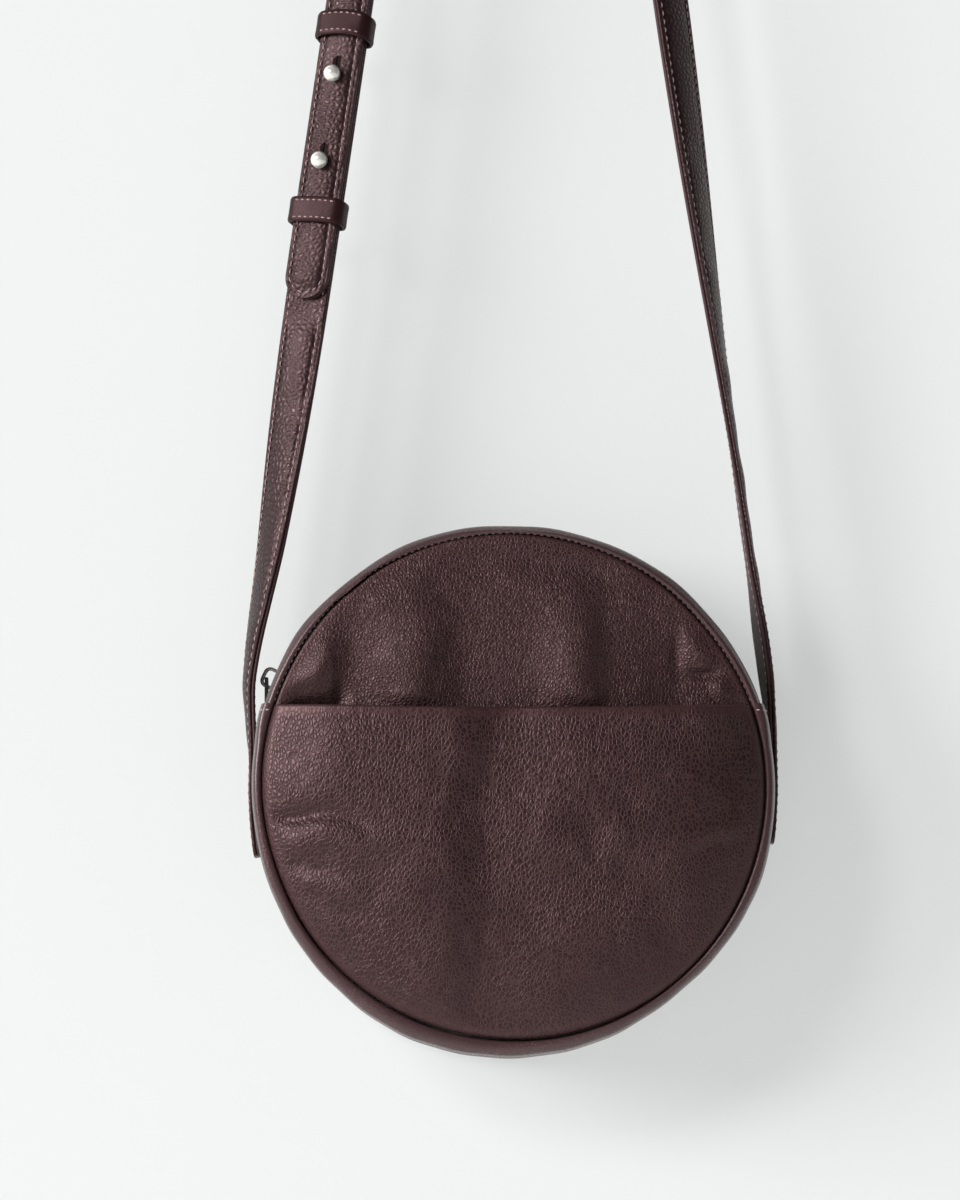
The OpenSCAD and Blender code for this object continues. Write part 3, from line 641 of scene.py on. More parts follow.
# %% Front panel shape
GROOVE_R, GROOVE_DEPTH = 100.6, 28.9
FRONT_SWELL, SHOULDER_W = 5.0, 1.7
PANEL_POINTS, BACK_POINTS = 230, 130
FRONT_FOLDS = [(-104, 0), (-77, 2.8), (-66, -1.4), (-44, 3.9), (-18, -1.6), (2, -0.9), (27, 4.0), (40, 0.8),
               (62, -1.6), (74, -0.8), (104, 0)]
FRONT_PUCKERS = [(2.2, (87, 41), (5.5, 4.5), -20), (-2.2, (80, 46.5), (12, 2.2), 12), (2.6, (77, 58), (7, 10), 35),
                 (-1.3, (66, 55), (3, 12), -6), (-1.0, (0, 90), (50, 7), 0), (1.0, (-40, 84), (26, 7), 28)]
CREASE_CORNER, CREASE_REACH, CREASE_DEPTH = (-99, 31), 34, 0.7
CREASES = [(24, 8, -1.0), (40, 9, 1.0), (57, 8, -0.8)]


def shoulder(radius, width):
    """1 inside the seam, falling round to 0 at the seam."""
    t = np.clip((radius - (GROOVE_R - width)) / width, 0, 1)
    return np.sqrt(np.maximum(0, 1 - t * t))


def fan_creases(a, h):
    """Creases that fan out from a corner where the seams pull the leather."""
    da, dh = a - CREASE_CORNER[0], h - CREASE_CORNER[1]
    far = np.hypot(da, dh)
    total = lumps(np.degrees(np.arctan2(dh, da)), CREASES)
    return CREASE_DEPTH * total * ease(far, 2, 9) * (1 - ease(far, CREASE_REACH * 0.45, CREASE_REACH))


def wander(a, h, seed):
    """Moves the pattern's points a little to and fro, so that no fold has a straight ridge."""
    return a + 2.6 * rough(a, h, 17, seed) + 0.8 * rough(a, h, 6, seed + 1), h + 2.6 * rough(a, h, 19, seed + 2)


def folds(a, ridges):
    """Upright folds. Each is a place across the bag and its height; between two the leather swings over."""
    at, rise = np.array(ridges, float).T
    left = np.clip(np.searchsorted(at, a) - 1, 0, len(at) - 2)
    return rise[left] + (rise[left + 1] - rise[left]) * ease((a - at[left]) / (at[left + 1] - at[left]), 0, 1)


def front_depth(a, h):
    """How far the front stands forward of the bag's middle plane, in millimetres."""
    r = np.hypot(a, h)
    edge_a, edge_h = a, h
    d = HALF_DEPTH + FRONT_SWELL * (1 - (r / SEAM_R) ** 2)
    a, h = wander(a, h, 21)
    a = a + 0.06 * (h - 50) + 1.8 * rough(a, h, 26, 41)
    upright = sum(folds(a + shift, FRONT_FOLDS) for shift in (-3, 0, 3)) / 3 * (1 - ease(h, 50, 88))
    puckers = humps(a, h, FRONT_PUCKERS) + fan_creases(a, h)
    fine = 0.20 * rough(a * 1.1, h * 0.6, 3.2, 3) * hump(a, h, (-78, 52), (20, 26)) \
        + 0.26 * rough(a * 0.8, h, 2.8, 4) * hump(a, h, (82, 46), (16, 18)) \
        + 0.5 * rough(a, h * 0.8, 14, 5) + 0.10 * rough(a, h, 5, 6)
    hollow = -4.2 * (1 - ease(edge_h, 31, 46)) * ease(edge_a, -101, -84) * (1 - ease(edge_a, -70, -63))
    soft = ease(edge_h, 28, 38) * (upright + puckers + fine) + hollow * ease(edge_h, 20, 28)
    d = d + soft * (1 - ease(r, 88, 99.5))
    return GROOVE_DEPTH + (d - GROOVE_DEPTH) * shoulder(r, SHOULDER_W)


across, height = disc_grid(GROOVE_R, PANEL_POINTS)
# Along the upper seam the panel is made lighter and glossier: partly wear, partly a painted highlight along the
# groove.
dress(shell("front_panel", at_bag(across, height, front_depth(across, height)), LEATHER_T, bag_leather,
            rub_and_sheen=ease(np.hypot(across, height), 94, 100) * 0.35 * ease(height, 30, 40)),
      "leather", flap_blend, "front_panel_upper", "front_panel_lower")

# %% [markdown]
# ## Pocket
# The slip pocket is a second panel over the lower front. Its top edge is turned in, which makes a round
# smooth lip that catches the light. A hand in the pocket leaves wide folds, and a sharp crease starts at
# the left seam. The grid runs up the face, over the lip and a little way down inside.

# %% Pocket shape
POCKET_SWELL, POCKET_SHOULDER = 12.6, 3.2
LIP_R, TURN_IN, LIP_NARROWS = 1.35, 11.0, 0.055
POCKET_FOLDS = [(-104, 0), (-66, 1.0), (-30, 2.2), (-10, -1.2), (20, 0.6), (60, 0.4), (104, 0)]
POCKET_HUMPS = [(1.0, (46, -22), (9, 9), 0), (-0.7, (31, -20), (5, 13), 0), (1.0, (68, -4), (17, 24), -8),
                (-0.9, (56, -48), (9, 26), 24), (1.0, (-74, 14), (14, 15), 10), (-0.9, (0, 26), (46, 7), 0)]
POCKET_CREASES = [(-1.9, (-86, -12), (22, 4.6), -3), (1.1, (-82, -1), (20, 9), -3), (-0.8, (-94, -11.5), (9, 1.6), -4),
                  (1.7, (-72, -21), (28, 6.5), 2), (-0.8, (-80, -32), (16, 4), -12), (0.7, (-78, -39), (14, 4), -14),
                  (-0.6, (-72, -48), (15, 4), -16), (-0.7, (80, -26), (14, 3), 22), (0.5, (78, -20), (14, 4), 22)]


def mouth_dip(a):
    """The pocket's mouth hangs a little lower in its middle."""
    return 1.7 * (1 - (np.asarray(a) / GROOVE_R) ** 2)


def pocket_depth(a, h):
    """How far the pocket stands forward of the bag's middle plane, in millimetres."""
    r = np.hypot(a, h)
    d = HALF_DEPTH + LEATHER_T + POCKET_SWELL * (1 - np.clip(r / SEAM_R, 0, 1) ** 4)
    a, h = wander(a, h, 31)
    upright = folds(a - 0.16 * (h + 20) * ease(h, -30, 30), POCKET_FOLDS)
    ripple = 0.24 * rough(a * 0.6, h, 3.4, 7) * hump(a, h, (-74, -14), (26, 30)) \
        + 0.14 * rough(a, h * 0.6, 4.2, 8) + 0.5 * rough(a, h * 0.8, 16, 9)
    d = d + (upright + humps(a, h, POCKET_HUMPS) + humps(a, h, POCKET_CREASES) + ripple) * (1 - ease(r, 90, 99.5))
    return GROOVE_DEPTH + 0.3 + (d - GROOVE_DEPTH - 0.3) * shoulder(r, POCKET_SHOULDER)


def pocket_rows(radius, count, low_deg, top_h, cols):
    """Rows of a sheet up the pocket's face, sagging with the mouth: height, across and true height."""
    for phi in np.linspace(math.radians(low_deg), math.asin(top_h / radius), count):
        h, a = radius * math.sin(phi), crowded(cols) * radius * math.cos(phi)
        yield h, a, h - mouth_dip(a) * float(ease(h, -40, MOUTH_H - 3))


lip_h = MOUTH_H - LIP_R
# The pocket's lip and rim are made lighter and glossier: partly wear, partly a painted highlight on the lip and along
# the seam.
outer_rows, rub_and_sheen_rows = [], []
for h, a, at_h in pocket_rows(GROOVE_R, 170, -88, lip_h, PANEL_POINTS):
    outer_rows.append(at_bag(a, at_h, pocket_depth(a, at_h)))
    rub_and_sheen_rows.append(0.5 * ease(h, MOUTH_H - 7, MOUTH_H - 1) + 0.35 * ease(np.hypot(a, h), 95, 99))
lip_across = crowded(PANEL_POINTS) * math.sqrt(GROOVE_R ** 2 - lip_h ** 2)
for alpha in np.linspace(0, math.pi, 12)[1:]:
    a = lip_across * (1 - LIP_NARROWS * (1 - math.cos(alpha)) / 2)
    at_h = lip_h - mouth_dip(a)
    d = pocket_depth(a, at_h) - LIP_R * (1 - math.cos(alpha))
    outer_rows.append(at_bag(a, at_h + LIP_R * math.sin(alpha), d))
    rub_and_sheen_rows.append(np.full_like(a, 0.55))
for down in np.linspace(0, TURN_IN, 8)[1:]:
    at_h = lip_h - down - mouth_dip(a)
    outer_rows.append(at_bag(a, at_h, pocket_depth(a, at_h) - 2 * LIP_R))
    rub_and_sheen_rows.append(np.full_like(a, 0.1))
dress(shell("pocket", np.array(outer_rows), LEATHER_T * 0.9, pocket_leather, rub_and_sheen=np.array(rub_and_sheen_rows)),
      "leather", "bag", "pocket_panel")

# %% [markdown]
# ## Pocket lining
# A sheet of cloth follows the inner face of the pocket and ends under the turned-in edge.

# %% Pocket lining
POCKET_CLOTH_R, CLOTH_GAP = 96, 0.15
cloth_rows = [at_bag(a, at_h, pocket_depth(a, at_h) - LEATHER_T - CLOTH_GAP)
              for h, a, at_h in pocket_rows(POCKET_CLOTH_R, 70, -84, MOUTH_H - TURN_IN - 2.2, 80)]
pocket_cloth = dress(shell("pocket_cloth", np.array(cloth_rows), CLOTH_T, lining_cloth), "lining", "bag",
                     "pocket_lining")

# %% [markdown]
# ## Back panel
# The back lies flat against the body, so it has no folds, only a hint of slack: a real flat leather panel
# is never quite even.

# %% Back panel
BACK_SLACK = [(0.5, (-30, 25), (34, 40), 15), (-0.5, (34, -22), (40, 30), -10), (-0.35, (0, -70), (50, 14), 0)]
across, height = disc_grid(GROOVE_R, BACK_POINTS)
radius = np.hypot(across, height)
back_depth = GROOVE_DEPTH - 0.6 + (HALF_DEPTH + 0.1 - GROOVE_DEPTH) * shoulder(radius, 2.6) \
    + humps(across, height, BACK_SLACK) * (1 - ease(radius, 84, 98))
dress(shell("back_leather", at_bag(across, height, -back_depth), LEATHER_T, bag_leather), "leather", "bag",
      "back_panel")

# %% [markdown]
# ## Gusset
# The gusset is the strip that goes round the bag between front and back. Sewn inside out and turned, it
# rolls over beside each seam like a thin tube, which is the smooth rim seen from the front. Its lower
# strip sags a little with the bag's weight and laps over the upper one at both sides. The shape is a
# profile of (radius, depth) points that is carried round the bag's middle.

# %% Gusset shape
RIM_PROFILE = [(100.7, 27.6), (100.72, 28.9), (100.8, 29.7), (101.15, 30.35), (101.9, 30.75), (102.8, 30.7),
               (103.6, 30.15), (104.1, 29.2), (104.45, 27.8), (104.8, 25.6), (105.1, 22.8), (105.3, 19.5),
               (105.45, 16), (105.5, 12.5), (105.5, 10)]
LAP_RISE, SEWN_PULL = 1.15, 1.15
ROLL_LEN, ROLL_SHARE, REST_SHARE = 9.0, 0.55, 0.45


def rounded_profile(last_depth, steps):
    """The profile from the front groove to a depth, with smooth points between the given ones."""
    given = np.array(RIM_PROFILE + [(CROWN_R, last_depth)])
    run = np.concatenate([[0], np.cumsum(np.hypot(*np.diff(given, axis=0).T))])
    s = np.linspace(0, run[-1], 400)
    r, d = np.interp(s, run, given[:, 0]), np.interp(s, run, given[:, 1])
    soft = np.ones(13) / 13
    r[6:-6], d[6:-6] = np.convolve(r, soft, "valid"), np.convolve(d, soft, "valid")
    rolled = 399 * ROLL_LEN / run[-1]
    pick = np.concatenate([np.linspace(0, rolled, int(steps * ROLL_SHARE)),
                           np.linspace(rolled, 399, int(steps * REST_SHARE))])
    pick = np.unique(pick.astype(int))
    return r[pick], d[pick]


def gusset_bulge(angle_deg, depth, lower):
    """How far the gusset stands out beyond its plain profile."""
    a = np.radians(angle_deg)
    puff = ease(np.abs(depth), 8.5, 17) * (1 - ease(np.abs(depth), 27, 30.5))
    side = np.abs(np.sin(a))
    free = ease(side, 0.30, 0.62)
    sag = 0.4 * ease(-np.sin(a), 0.25, 1.0) if lower else 0.0
    held = SEWN_PULL * (1 - ease(np.abs(depth), 9.8, 15)) * (1 - ease(side, 0.13, 0.29))
    waves = 0.35 * np.sin(3 * a + 0.6) + 0.3 * np.sin(5 * a + 2.1) + 0.22 * np.sin(9 * a + 0.4)
    ripple = 0.12 * np.sin(31 * a) if lower else 0.1 * np.sin(23 * a)
    return puff * 0.9 * free + sag - held + waves * free * (0.5 + 0.5 * puff) + ripple * puff * free


def height_end(radius, height):
    """Angle at which a circle of that radius reaches a height."""
    return np.degrees(np.arcsin(height / radius))


def sweep(ends, below, count):
    """Angles from one end of a strip to the other, over the bag's top or under it."""
    for share in np.linspace(0, 1, count):
        yield (-180 - ends) + share * (180 + 2 * ends) if below else ends + share * (180 - 2 * ends)


def gusset_grid(profile_r, profile_d, end_h, below, count):
    """Rows along the gusset, columns across it. Its ends lie at a height."""
    grid = []
    for angle in sweep(height_end(profile_r, end_h), below, count):
        r = profile_r + gusset_bulge(angle, profile_d, below)
        if below:
            r = r + LAP_RISE * ease(r * np.sin(np.radians(angle)), 14, 30) * ease(profile_r, 101.2, 103.4)
        grid.append(round_bag(r, angle, profile_d))
    return np.array(grid)


half_r, half_d = rounded_profile(0.0, 40)
full_r, full_d = np.concatenate([half_r, half_r[-2::-1]]), np.concatenate([half_d, -half_d[-2::-1]])
dress(shell("bottom_gusset_leather", gusset_grid(full_r, full_d, MOUTH_H, True, 300), LEATHER_T * 0.85, rim_leather_painted_sheen),
      "leather", "bag", "bottom_gusset")

# %% [markdown]
# ## Top gusset and its zip slot
# The top strip is cut in two, and each half is folded back along the zip. The fold is round and two
# layers thick. The front half opens with the mouth, but here no body carries it.

# %% Top gusset halves
SLOT_HALF, FOLD_R, FOLD_END_H = 6.3, 0.7, MOUTH_H - 4.0
FOLD_D = SLOT_HALF + FOLD_R
r, d = rounded_profile(FOLD_D, 34)
fold = np.linspace(0, math.pi, 9)[1:]
r = np.concatenate([r, CROWN_R - FOLD_R * (1 - np.cos(fold)), np.full(4, CROWN_R - 2 * FOLD_R)])
d = np.concatenate([d, FOLD_D - FOLD_R * np.sin(fold), FOLD_D + np.array([1.2, 2.4, 3.6, 4.8])])
for label, side, carrier in MOUTH_HALVES:
    grid = gusset_grid(r, d, FOLD_END_H, False, 240) * np.array([1, side, 1])
    dress(shell(f"top_gusset_{label}_leather", grid, FOLD_R * 0.92, rim_leather_painted_sheen), "leather", carrier,
          "top_gusset_" + label)

# %% [markdown]
# ## Path of the strap
# The strap is one long ribbon. On the left it is buttoned on a short strap, then it rises to the point
# where it hangs, goes over it and comes down on the right. The ribbon twists a little, as leather does,
# so one edge shows more than the other. At both ends it runs on down over the gusset, where it is sewn.
# A path keeps, for each step, a place, the direction of its outer face and the direction of its near edge.

# %% Strap path
STRAP_W, PLY_T, STRAP_GAP = 19.0, 1.55, 0.2
SIDE_X, PEG_R, PEG_H = 107.35, 15.0, 670.0
WRAP_R = PEG_R + PLY_T
LEFT_BEND, RIGHT_BEND = (44.0, 6.0), (22.0, 10.0)
LEFT_AIM_H, RIGHT_AIM_H = 44.0, 35.0
LEFT_END_H, RIGHT_END_H = -27.0, -22.0
TONGUE_TIP_H, SHORT_END_H = 202.0, 336.0
LOWER_STUD_H, UPPER_STUD_H = 258.5, 294.5
LOWER_KEEPER_H, UPPER_KEEPER_H = 237.5, 314.0
BACK_FROM_H, FLAT_H = 355.0, 640.0
PATH_STEP = 1.5


def strand_lean(side):
    """Lean of the straight strand, in radians, measured as on the frame."""
    climb = PEG_H - (LEFT_AIM_H if side < 0 else RIGHT_AIM_H)
    return math.atan2(SIDE_X, climb) - math.asin(WRAP_R / math.hypot(SIDE_X, climb))


def strand_across(side, h):
    """Distance of a strand from the bag's middle line at each height."""
    bend_at, bend_soft = LEFT_BEND if side < 0 else RIGHT_BEND
    u = h - bend_at
    free = SIDE_X - math.tan(strand_lean(side)) * (u + np.sqrt(u * u + bend_soft ** 2)) / 2
    if side > 0:
        free = free + math.tan(strand_lean(1)) * (RIGHT_AIM_H - bend_at) * ease(h, 150, 420)
    else:
        free = free + 1.2 * ease(h, 12, 45) * (1 - ease(h, 58, 105))
    free = free - SEWN_PULL * (1 - ease(h, 8, 60))
    sewn_r = CROWN_R + PLY_T + 0.1
    round_x = np.sqrt(np.maximum(sewn_r ** 2 - np.minimum(h, 0) ** 2, 0))
    return np.where(h > 0, free, free - 0.62 * (sewn_r - round_x) * ease(-h, 0, 3) - 0.2 * ease(-h, 0, 8))


def strand_twist(side, h):
    """Twist of a strand in radians at each height."""
    flat_again = 1 - ease(h, BACK_FROM_H if side < 0 else 400.0, FLAT_H)
    if side < 0:
        return np.radians(67.0 * ease(h, -10.0, 215.0) * flat_again)
    return np.radians(46.0 * ease(h, 100.0, 340.0) * flat_again
                      - 9.0 * ease(h, 20.0, 52.0) * (1 - ease(h, 60.0, 96.0)))


def strand_stations(side, heights):
    """Places and directions of a strand, in millimetres from the bag's middle."""
    h = np.asarray(heights, float)
    zero = np.zeros_like(h)
    slope = (strand_across(side, h + 0.5) - strand_across(side, h - 0.5)) * side
    ahead = unit(np.stack([slope, zero, zero + 1], axis=1))
    out = np.stack([side * ahead[:, 2], zero, -side * ahead[:, 0]], axis=1)
    near = np.tile([0.0, -1.0, 0.0], (len(h), 1))
    c, s = np.cos(strand_twist(side, h))[:, None], np.sin(strand_twist(side, h))[:, None]
    place = np.stack([side * strand_across(side, h), zero, h], axis=1)
    return place, out * c + near * s, near * c - out * s


def make_path(*parts):
    """Joins stretches of places, outer and near directions to one path with its running length."""
    place, out, near = [np.concatenate(values) for values in zip(*parts)]
    run = np.concatenate([[0], np.cumsum(np.linalg.norm(np.diff(place, axis=0), axis=1))])
    return {"place": place, "out": out, "near": near, "run": run}


left_lean, right_lean = strand_lean(-1), strand_lean(1)
short_path = make_path(strand_stations(-1, np.arange(LEFT_END_H, SHORT_END_H + 0.01, PATH_STEP)))
left_top, right_top = PEG_H + WRAP_R * math.sin(left_lean), PEG_H + WRAP_R * math.sin(right_lean)
left_h = np.concatenate([np.arange(TONGUE_TIP_H, 380, PATH_STEP), np.linspace(380, left_top, 90)])
place, out, near = strand_stations(-1, left_h)
over_short = (2 * PLY_T + STRAP_GAP) * (1 - ease(left_h, BACK_FROM_H, FLAT_H))
wrap_a = np.linspace(math.pi - left_lean, right_lean, 40)[1:-1]
wrap_out = np.stack([np.cos(wrap_a), np.zeros_like(wrap_a), np.sin(wrap_a)], axis=1)
wrap = wrap_out * WRAP_R + np.array([0, 0, PEG_H]), wrap_out, np.tile([0.0, -1.0, 0.0], (len(wrap_a), 1))
right_h = np.concatenate([np.linspace(right_top, 160, 150), np.arange(158.5, RIGHT_END_H - 0.01, -PATH_STEP)])
long_path = make_path((place + out * over_short[:, None], out, near), wrap, strand_stations(1, right_h))
print("long strap:", round(long_path["run"][-1]), "mm, short strap:", round(short_path["run"][-1]), "mm")

# %% [markdown]
# ## Plies
# The strap is two layers of leather glued and sewn together: a pebbled face and a smooth backing. Seen
# from the edge, they show as two bands with a fine line between. Each ply is a rounded bar that is
# carried along the path. At a rounded end the bar gets narrower step by step. The face swells softly
# between its two rows of stitches, sinks under them and is bevelled outside them.

# %% Ply builder
PLY_EDGE_R, SKIVED_FACE, SKIVED_PLAIN = 0.45, 0.4, 0.72
SWELL, SWELL_TO, SEAM_AT, SEAM_SINK, BEVEL_FROM, BEVEL_DROP = 0.9, 0.76, 0.78, 0.45, 0.84, 0.5
# The ply's sides and the corners of its face are made lighter and glossier: a painted highlight along the strap's
# edges, partly also edge wear.
SIDE_RUB_AND_SHEEN, CORNER_HIGHLIGHT, CORNER_FROM = 0.12, 0.2, 0.92
TIP_STEPS = np.array([0.02, 0.15, 0.4, 0.9, 1.6, 2.5, 3.6, 4.9, 6.3, 7.8]) / 9
HALF_FACE = np.array([0, 0.2, 0.4, 0.58, 0.7, 0.76, 0.8, 0.86, 0.93, 1])


def on_path(path, s, across_mm, lift_mm):
    """A point of the strap: along it, across it and out of its face, in scene metres."""
    s = np.asarray(s, float)
    get = lambda key: np.stack([np.interp(s, path["run"], path[key][:, i]) for i in range(3)], axis=-1)
    near, out = unit(get("near")), unit(get("out"))
    p = get("place") + near * np.asarray(across_mm, float)[..., None] + out * np.asarray(lift_mm, float)[..., None]
    return p * MM + np.array(BAG_MIDDLE), out


def half_width(total, s, start_round, end_round):
    """Half the strap's width, drawn in towards its rounded ends."""
    half = np.full(len(s), STRAP_W / 2)
    for gap, radius in ((s, start_round), (total - s, end_round)):
        t = np.clip(1 - gap / radius, 0, 1)
        half = np.minimum(half, STRAP_W / 2 - radius + radius * np.sqrt(1 - t * t * 0.999))
    return half


def face_swell(path, s):
    """How far the face swells, in mm: not where another strap or the seam presses it flat."""
    level_h = np.interp(s, path["run"], path["place"][:, 2])
    covered = (ease(level_h, 186, 196) if path is short_path else 0 * s) + (1 - ease(level_h, 2, 40))
    swell = SWELL * (1 - np.clip(covered, 0, 1)) * ease(np.minimum(s, path["run"][-1] - s), 1, 9)
    return swell * (1 + 0.35 * np.sin(s * 0.23) * np.sin(s * 0.071 + 1))


def ply_ring(face):
    """Points round a ply: a place across it, a level from -1 to 1, a share of the swell, a lightening at its edges
    (edge wear and a painted highlight) and edge.
    """
    flat = np.concatenate([-HALF_FACE[:0:-1], HALF_FACE])
    rise = np.where(abs(flat) < SWELL_TO, 1 - (abs(flat) / SWELL_TO) ** 2.6, 0) \
        - SEAM_SINK * np.exp(-((abs(flat) - SEAM_AT) / 0.05) ** 2) \
        - BEVEL_DROP * (np.clip(abs(flat) - BEVEL_FROM, 0, 1) / (1 - BEVEL_FROM)) ** 2
    rub_and_sheen = lambda f: CORNER_HIGHLIGHT * max(0.0, abs(f) - CORNER_FROM) / (1 - CORNER_FROM)
    bend = math.sin(math.radians(45))
    side = [(SKIVED_FACE if face else SKIVED_PLAIN, bend), (0, 1), (-SKIVED_PLAIN, bend)]
    ring = [(f, 1, k, rub_and_sheen(f), 0) for f, k in zip(flat, rise)]
    ring += [(1, level, 0, SIDE_RUB_AND_SHEEN, edge) for level, edge in side]
    ring += [(f, -1, 0, rub_and_sheen(f), 0) for f in np.linspace(1, -1, 9)]
    ring += [(-1, level, 0, SIDE_RUB_AND_SHEEN, edge) for level, edge in side[::-1]]
    return np.array(ring).T


def ply(name, path, low, high, start_round, end_round, material, face=False):
    """One layer of the strap between two levels of its thickness."""
    total = path["run"][-1]
    s = np.unique(np.concatenate([path["run"], TIP_STEPS * start_round, total - TIP_STEPS * end_round]))
    s = s[(s >= 0) & (s <= total)]
    half = half_width(total, s, start_round, end_round)[:, None] - PLY_EDGE_R
    swell = face_swell(path, s)[:, None] if face else 0.0
    across, level, rise, rub_and_sheen, edge = ply_ring(face)
    a = across * (half + PLY_EDGE_R * edge)
    lift = np.broadcast_to((low + high) / 2 + (high - low) / 2 * level + swell * rise, a.shape)
    along = np.broadcast_to(s[:, None], a.shape)
    points, _ = on_path(path, along, a, lift)
    faces = [f[::-1] for f in tube_faces(*a.shape)]
    piece = new_piece(name, points.reshape(-1, 3), faces, material, crease=50)
    store(piece, "rub_and_sheen", np.broadcast_to(rub_and_sheen, a.shape))
    store(piece, "laid", np.stack([along, a, lift], axis=-1) * MM, "FLOAT_VECTOR", "vector")
    return piece


short_face = dress(ply("strap_short_face_ply", short_path, 0.0, PLY_T, 3.0, 4.75, strap_leather, face=True),
                   "leather", None, "strap_short_face", "strap_end_left")
short_backing = dress(ply("strap_short_backing_ply", short_path, -PLY_T, 0.0, 3.0, 4.75, backing_leather),
                      "leather_dark", None, "strap_short_backing")
long_face = dress(ply("strap_long_face_ply", long_path, 0.0, PLY_T, 9.0, 3.0, strap_leather, face=True),
                  "leather", None, "strap_long_face", "strap_end_right")
long_backing = dress(ply("strap_long_backing_ply", long_path, -PLY_T, 0.0, 9.0, 3.0, backing_leather),
                     "leather_dark", None, "strap_long_backing")

# %% [markdown]
# ## Holes for the studs
# The tongue has a round hole for each stud and a slit above it, so that it can be pushed over the ball.
# A cutter with the shape of a keyhole is taken away from both plies with Blender's exact cut.

# %% Keyholes in the tongue
HOLE_R, SLIT_W, SLIT_LEN = 2.15, 0.55, 5.4
SLIT_OPENS, CUT_FROM, CUT_TO = 0.17, PLY_T - 0.08, 9.0


def left_frame(h):
    """Axes on the left strap at a height: outwards, to the near edge, up the strap."""
    place, out, near = [Vector(values[0]) for values in strand_stations(-1, np.array([h]))]
    up = out.cross(near)
    if up.z < 0:
        up = -up
    return Matrix.Translation(BAG_MIDDLE + place * MM) @ Matrix((out, near, up)).transposed().to_4x4()


def keyhole_cutter(h):
    outline = [(SLIT_W / 2, HOLE_R + SLIT_LEN)]
    outline += [(HOLE_R * math.sin(a), HOLE_R * math.cos(a))
                for a in np.linspace(SLIT_OPENS, 2 * math.pi - SLIT_OPENS, 36)]
    outline += [(-SLIT_W / 2, HOLE_R + SLIT_LEN)]
    turn = left_frame(h)
    points = [turn @ (Vector((x, a, b)) * MM) for x in (CUT_FROM, CUT_TO) for a, b in outline]
    return new_piece("cutter", points, tube_faces(2, len(outline)), strap_leather)


def cut_out(piece, cutters):
    bpy.context.view_layer.update()
    for cutter in cutters:
        knife = piece.modifiers.new("keyhole", "BOOLEAN")
        knife.operation, knife.solver, knife.object = "DIFFERENCE", "EXACT", cutter
    bpy.context.view_layer.update()
    shape = bpy.data.meshes.new_from_object(piece.evaluated_get(bpy.context.evaluated_depsgraph_get()))
    piece.modifiers.clear()
    piece.data = shape
    return len(shape.vertices)


cutters = [keyhole_cutter(h) for h in (LOWER_STUD_H, UPPER_STUD_H)]
print("tongue after the cut:", cut_out(long_face, cutters), cut_out(long_backing, cutters), "points")
for cutter in cutters:
    bpy.data.objects.remove(cutter)
for piece in (short_face, short_backing, long_face, long_backing):
    swing_blend(piece)

# %% [markdown]
# ## Stitches of the strap
# Both edges are topstitched all the way, 2 mm in, with a rose-brown thread that is a little lighter than
# the leather. The row goes round the tip of the tongue, and the sewn ends have two rows across as well.

# %% Strap stitches
STITCH_INSET, STRAP_STITCH_T, CROSS_STITCH_T, ROW_STEP = 2.1, 0.54, 0.6, 1.5
TIP_FROM, TIP_TURN_R, SHORT_FROM = 9.6, 7.2, 3
CROSS_FROM, CROSS_APART = 2.6, 13.0
inset = STRAP_W / 2 - STITCH_INSET
long_end, short_end = long_path["run"][-1], short_path["run"][-1]


def strap_row(name, path, s, a, lift, thick_mm=STRAP_STITCH_T):
    p, out = on_path(path, s, a, np.full(len(s), lift))
    swing_blend(stitch_row(name, p, out * np.sign(lift), rose_thread, thick_mm=thick_mm))


for label, lift, stop in (("face", PLY_T, 3), ("back", -PLY_T, 4)):
    s = np.arange(TIP_FROM, long_end - stop, ROW_STEP)
    turn = np.linspace(0, math.pi, 26)
    edge = np.full(len(s), inset)
    strap_row("stitches_long_" + label, long_path, np.concatenate([s[::-1], TIP_FROM - TIP_TURN_R * np.sin(turn), s]),
              np.concatenate([edge, inset * np.cos(turn), -edge]), lift)
for side_label, sign in (("near", 1), ("far", -1)):
    for label, lift in (("face", PLY_T), ("back", -PLY_T)):
        s = np.arange(SHORT_FROM, short_end - SHORT_FROM, ROW_STEP)
        strap_row(f"stitches_short_{label}_{side_label}", short_path, s, np.full(len(s), sign * inset), lift)
for label, path, start, way in (("left", short_path, CROSS_FROM, 1), ("right", long_path, long_end - CROSS_FROM, -1)):
    for k in (0, 1):
        strap_row(f"stitches_end_{label}_{k}", path, np.full(16, start + way * CROSS_APART * k),
                  np.linspace(-inset, inset, 16), PLY_T, CROSS_STITCH_T)

# %% [markdown]
# ## Keepers
# A keeper is a short loop of leather that holds the tongue down. It isn't a hard box: it is arched over
# the strap and a little loose. The loop is a rounded ring of points, carried along the strap, and its
# face bulges in the middle. The upper loop has slipped: its front sits higher than its back, and the
# front's lower edge stands off the strap.

# %% Keepers
KEEPER_LEN, KEEPER_T, KEEPER_PLAY, KEEPER_LIFT = 10.6, 1.4, 1.5, 0.6
KEEPER_MID = (2 * PLY_T + STRAP_GAP) / 2
KEEPER_HALF_T = (4 * PLY_T + STRAP_GAP) / 2 + KEEPER_LIFT + KEEPER_T
KEEPER_HALF_W = STRAP_W / 2 + KEEPER_PLAY + KEEPER_T
KEEPER_CORNER = min(KEEPER_HALF_T, 2.5 + KEEPER_T)
KEEPER_ROWS, RING_STEP = 13, 1.2
KEEPER_PITCH, KEEPER_STITCH, KEEPER_INSET, KEEPER_ROW_HALF = 2.6, 2.0, 1.7, 9.2


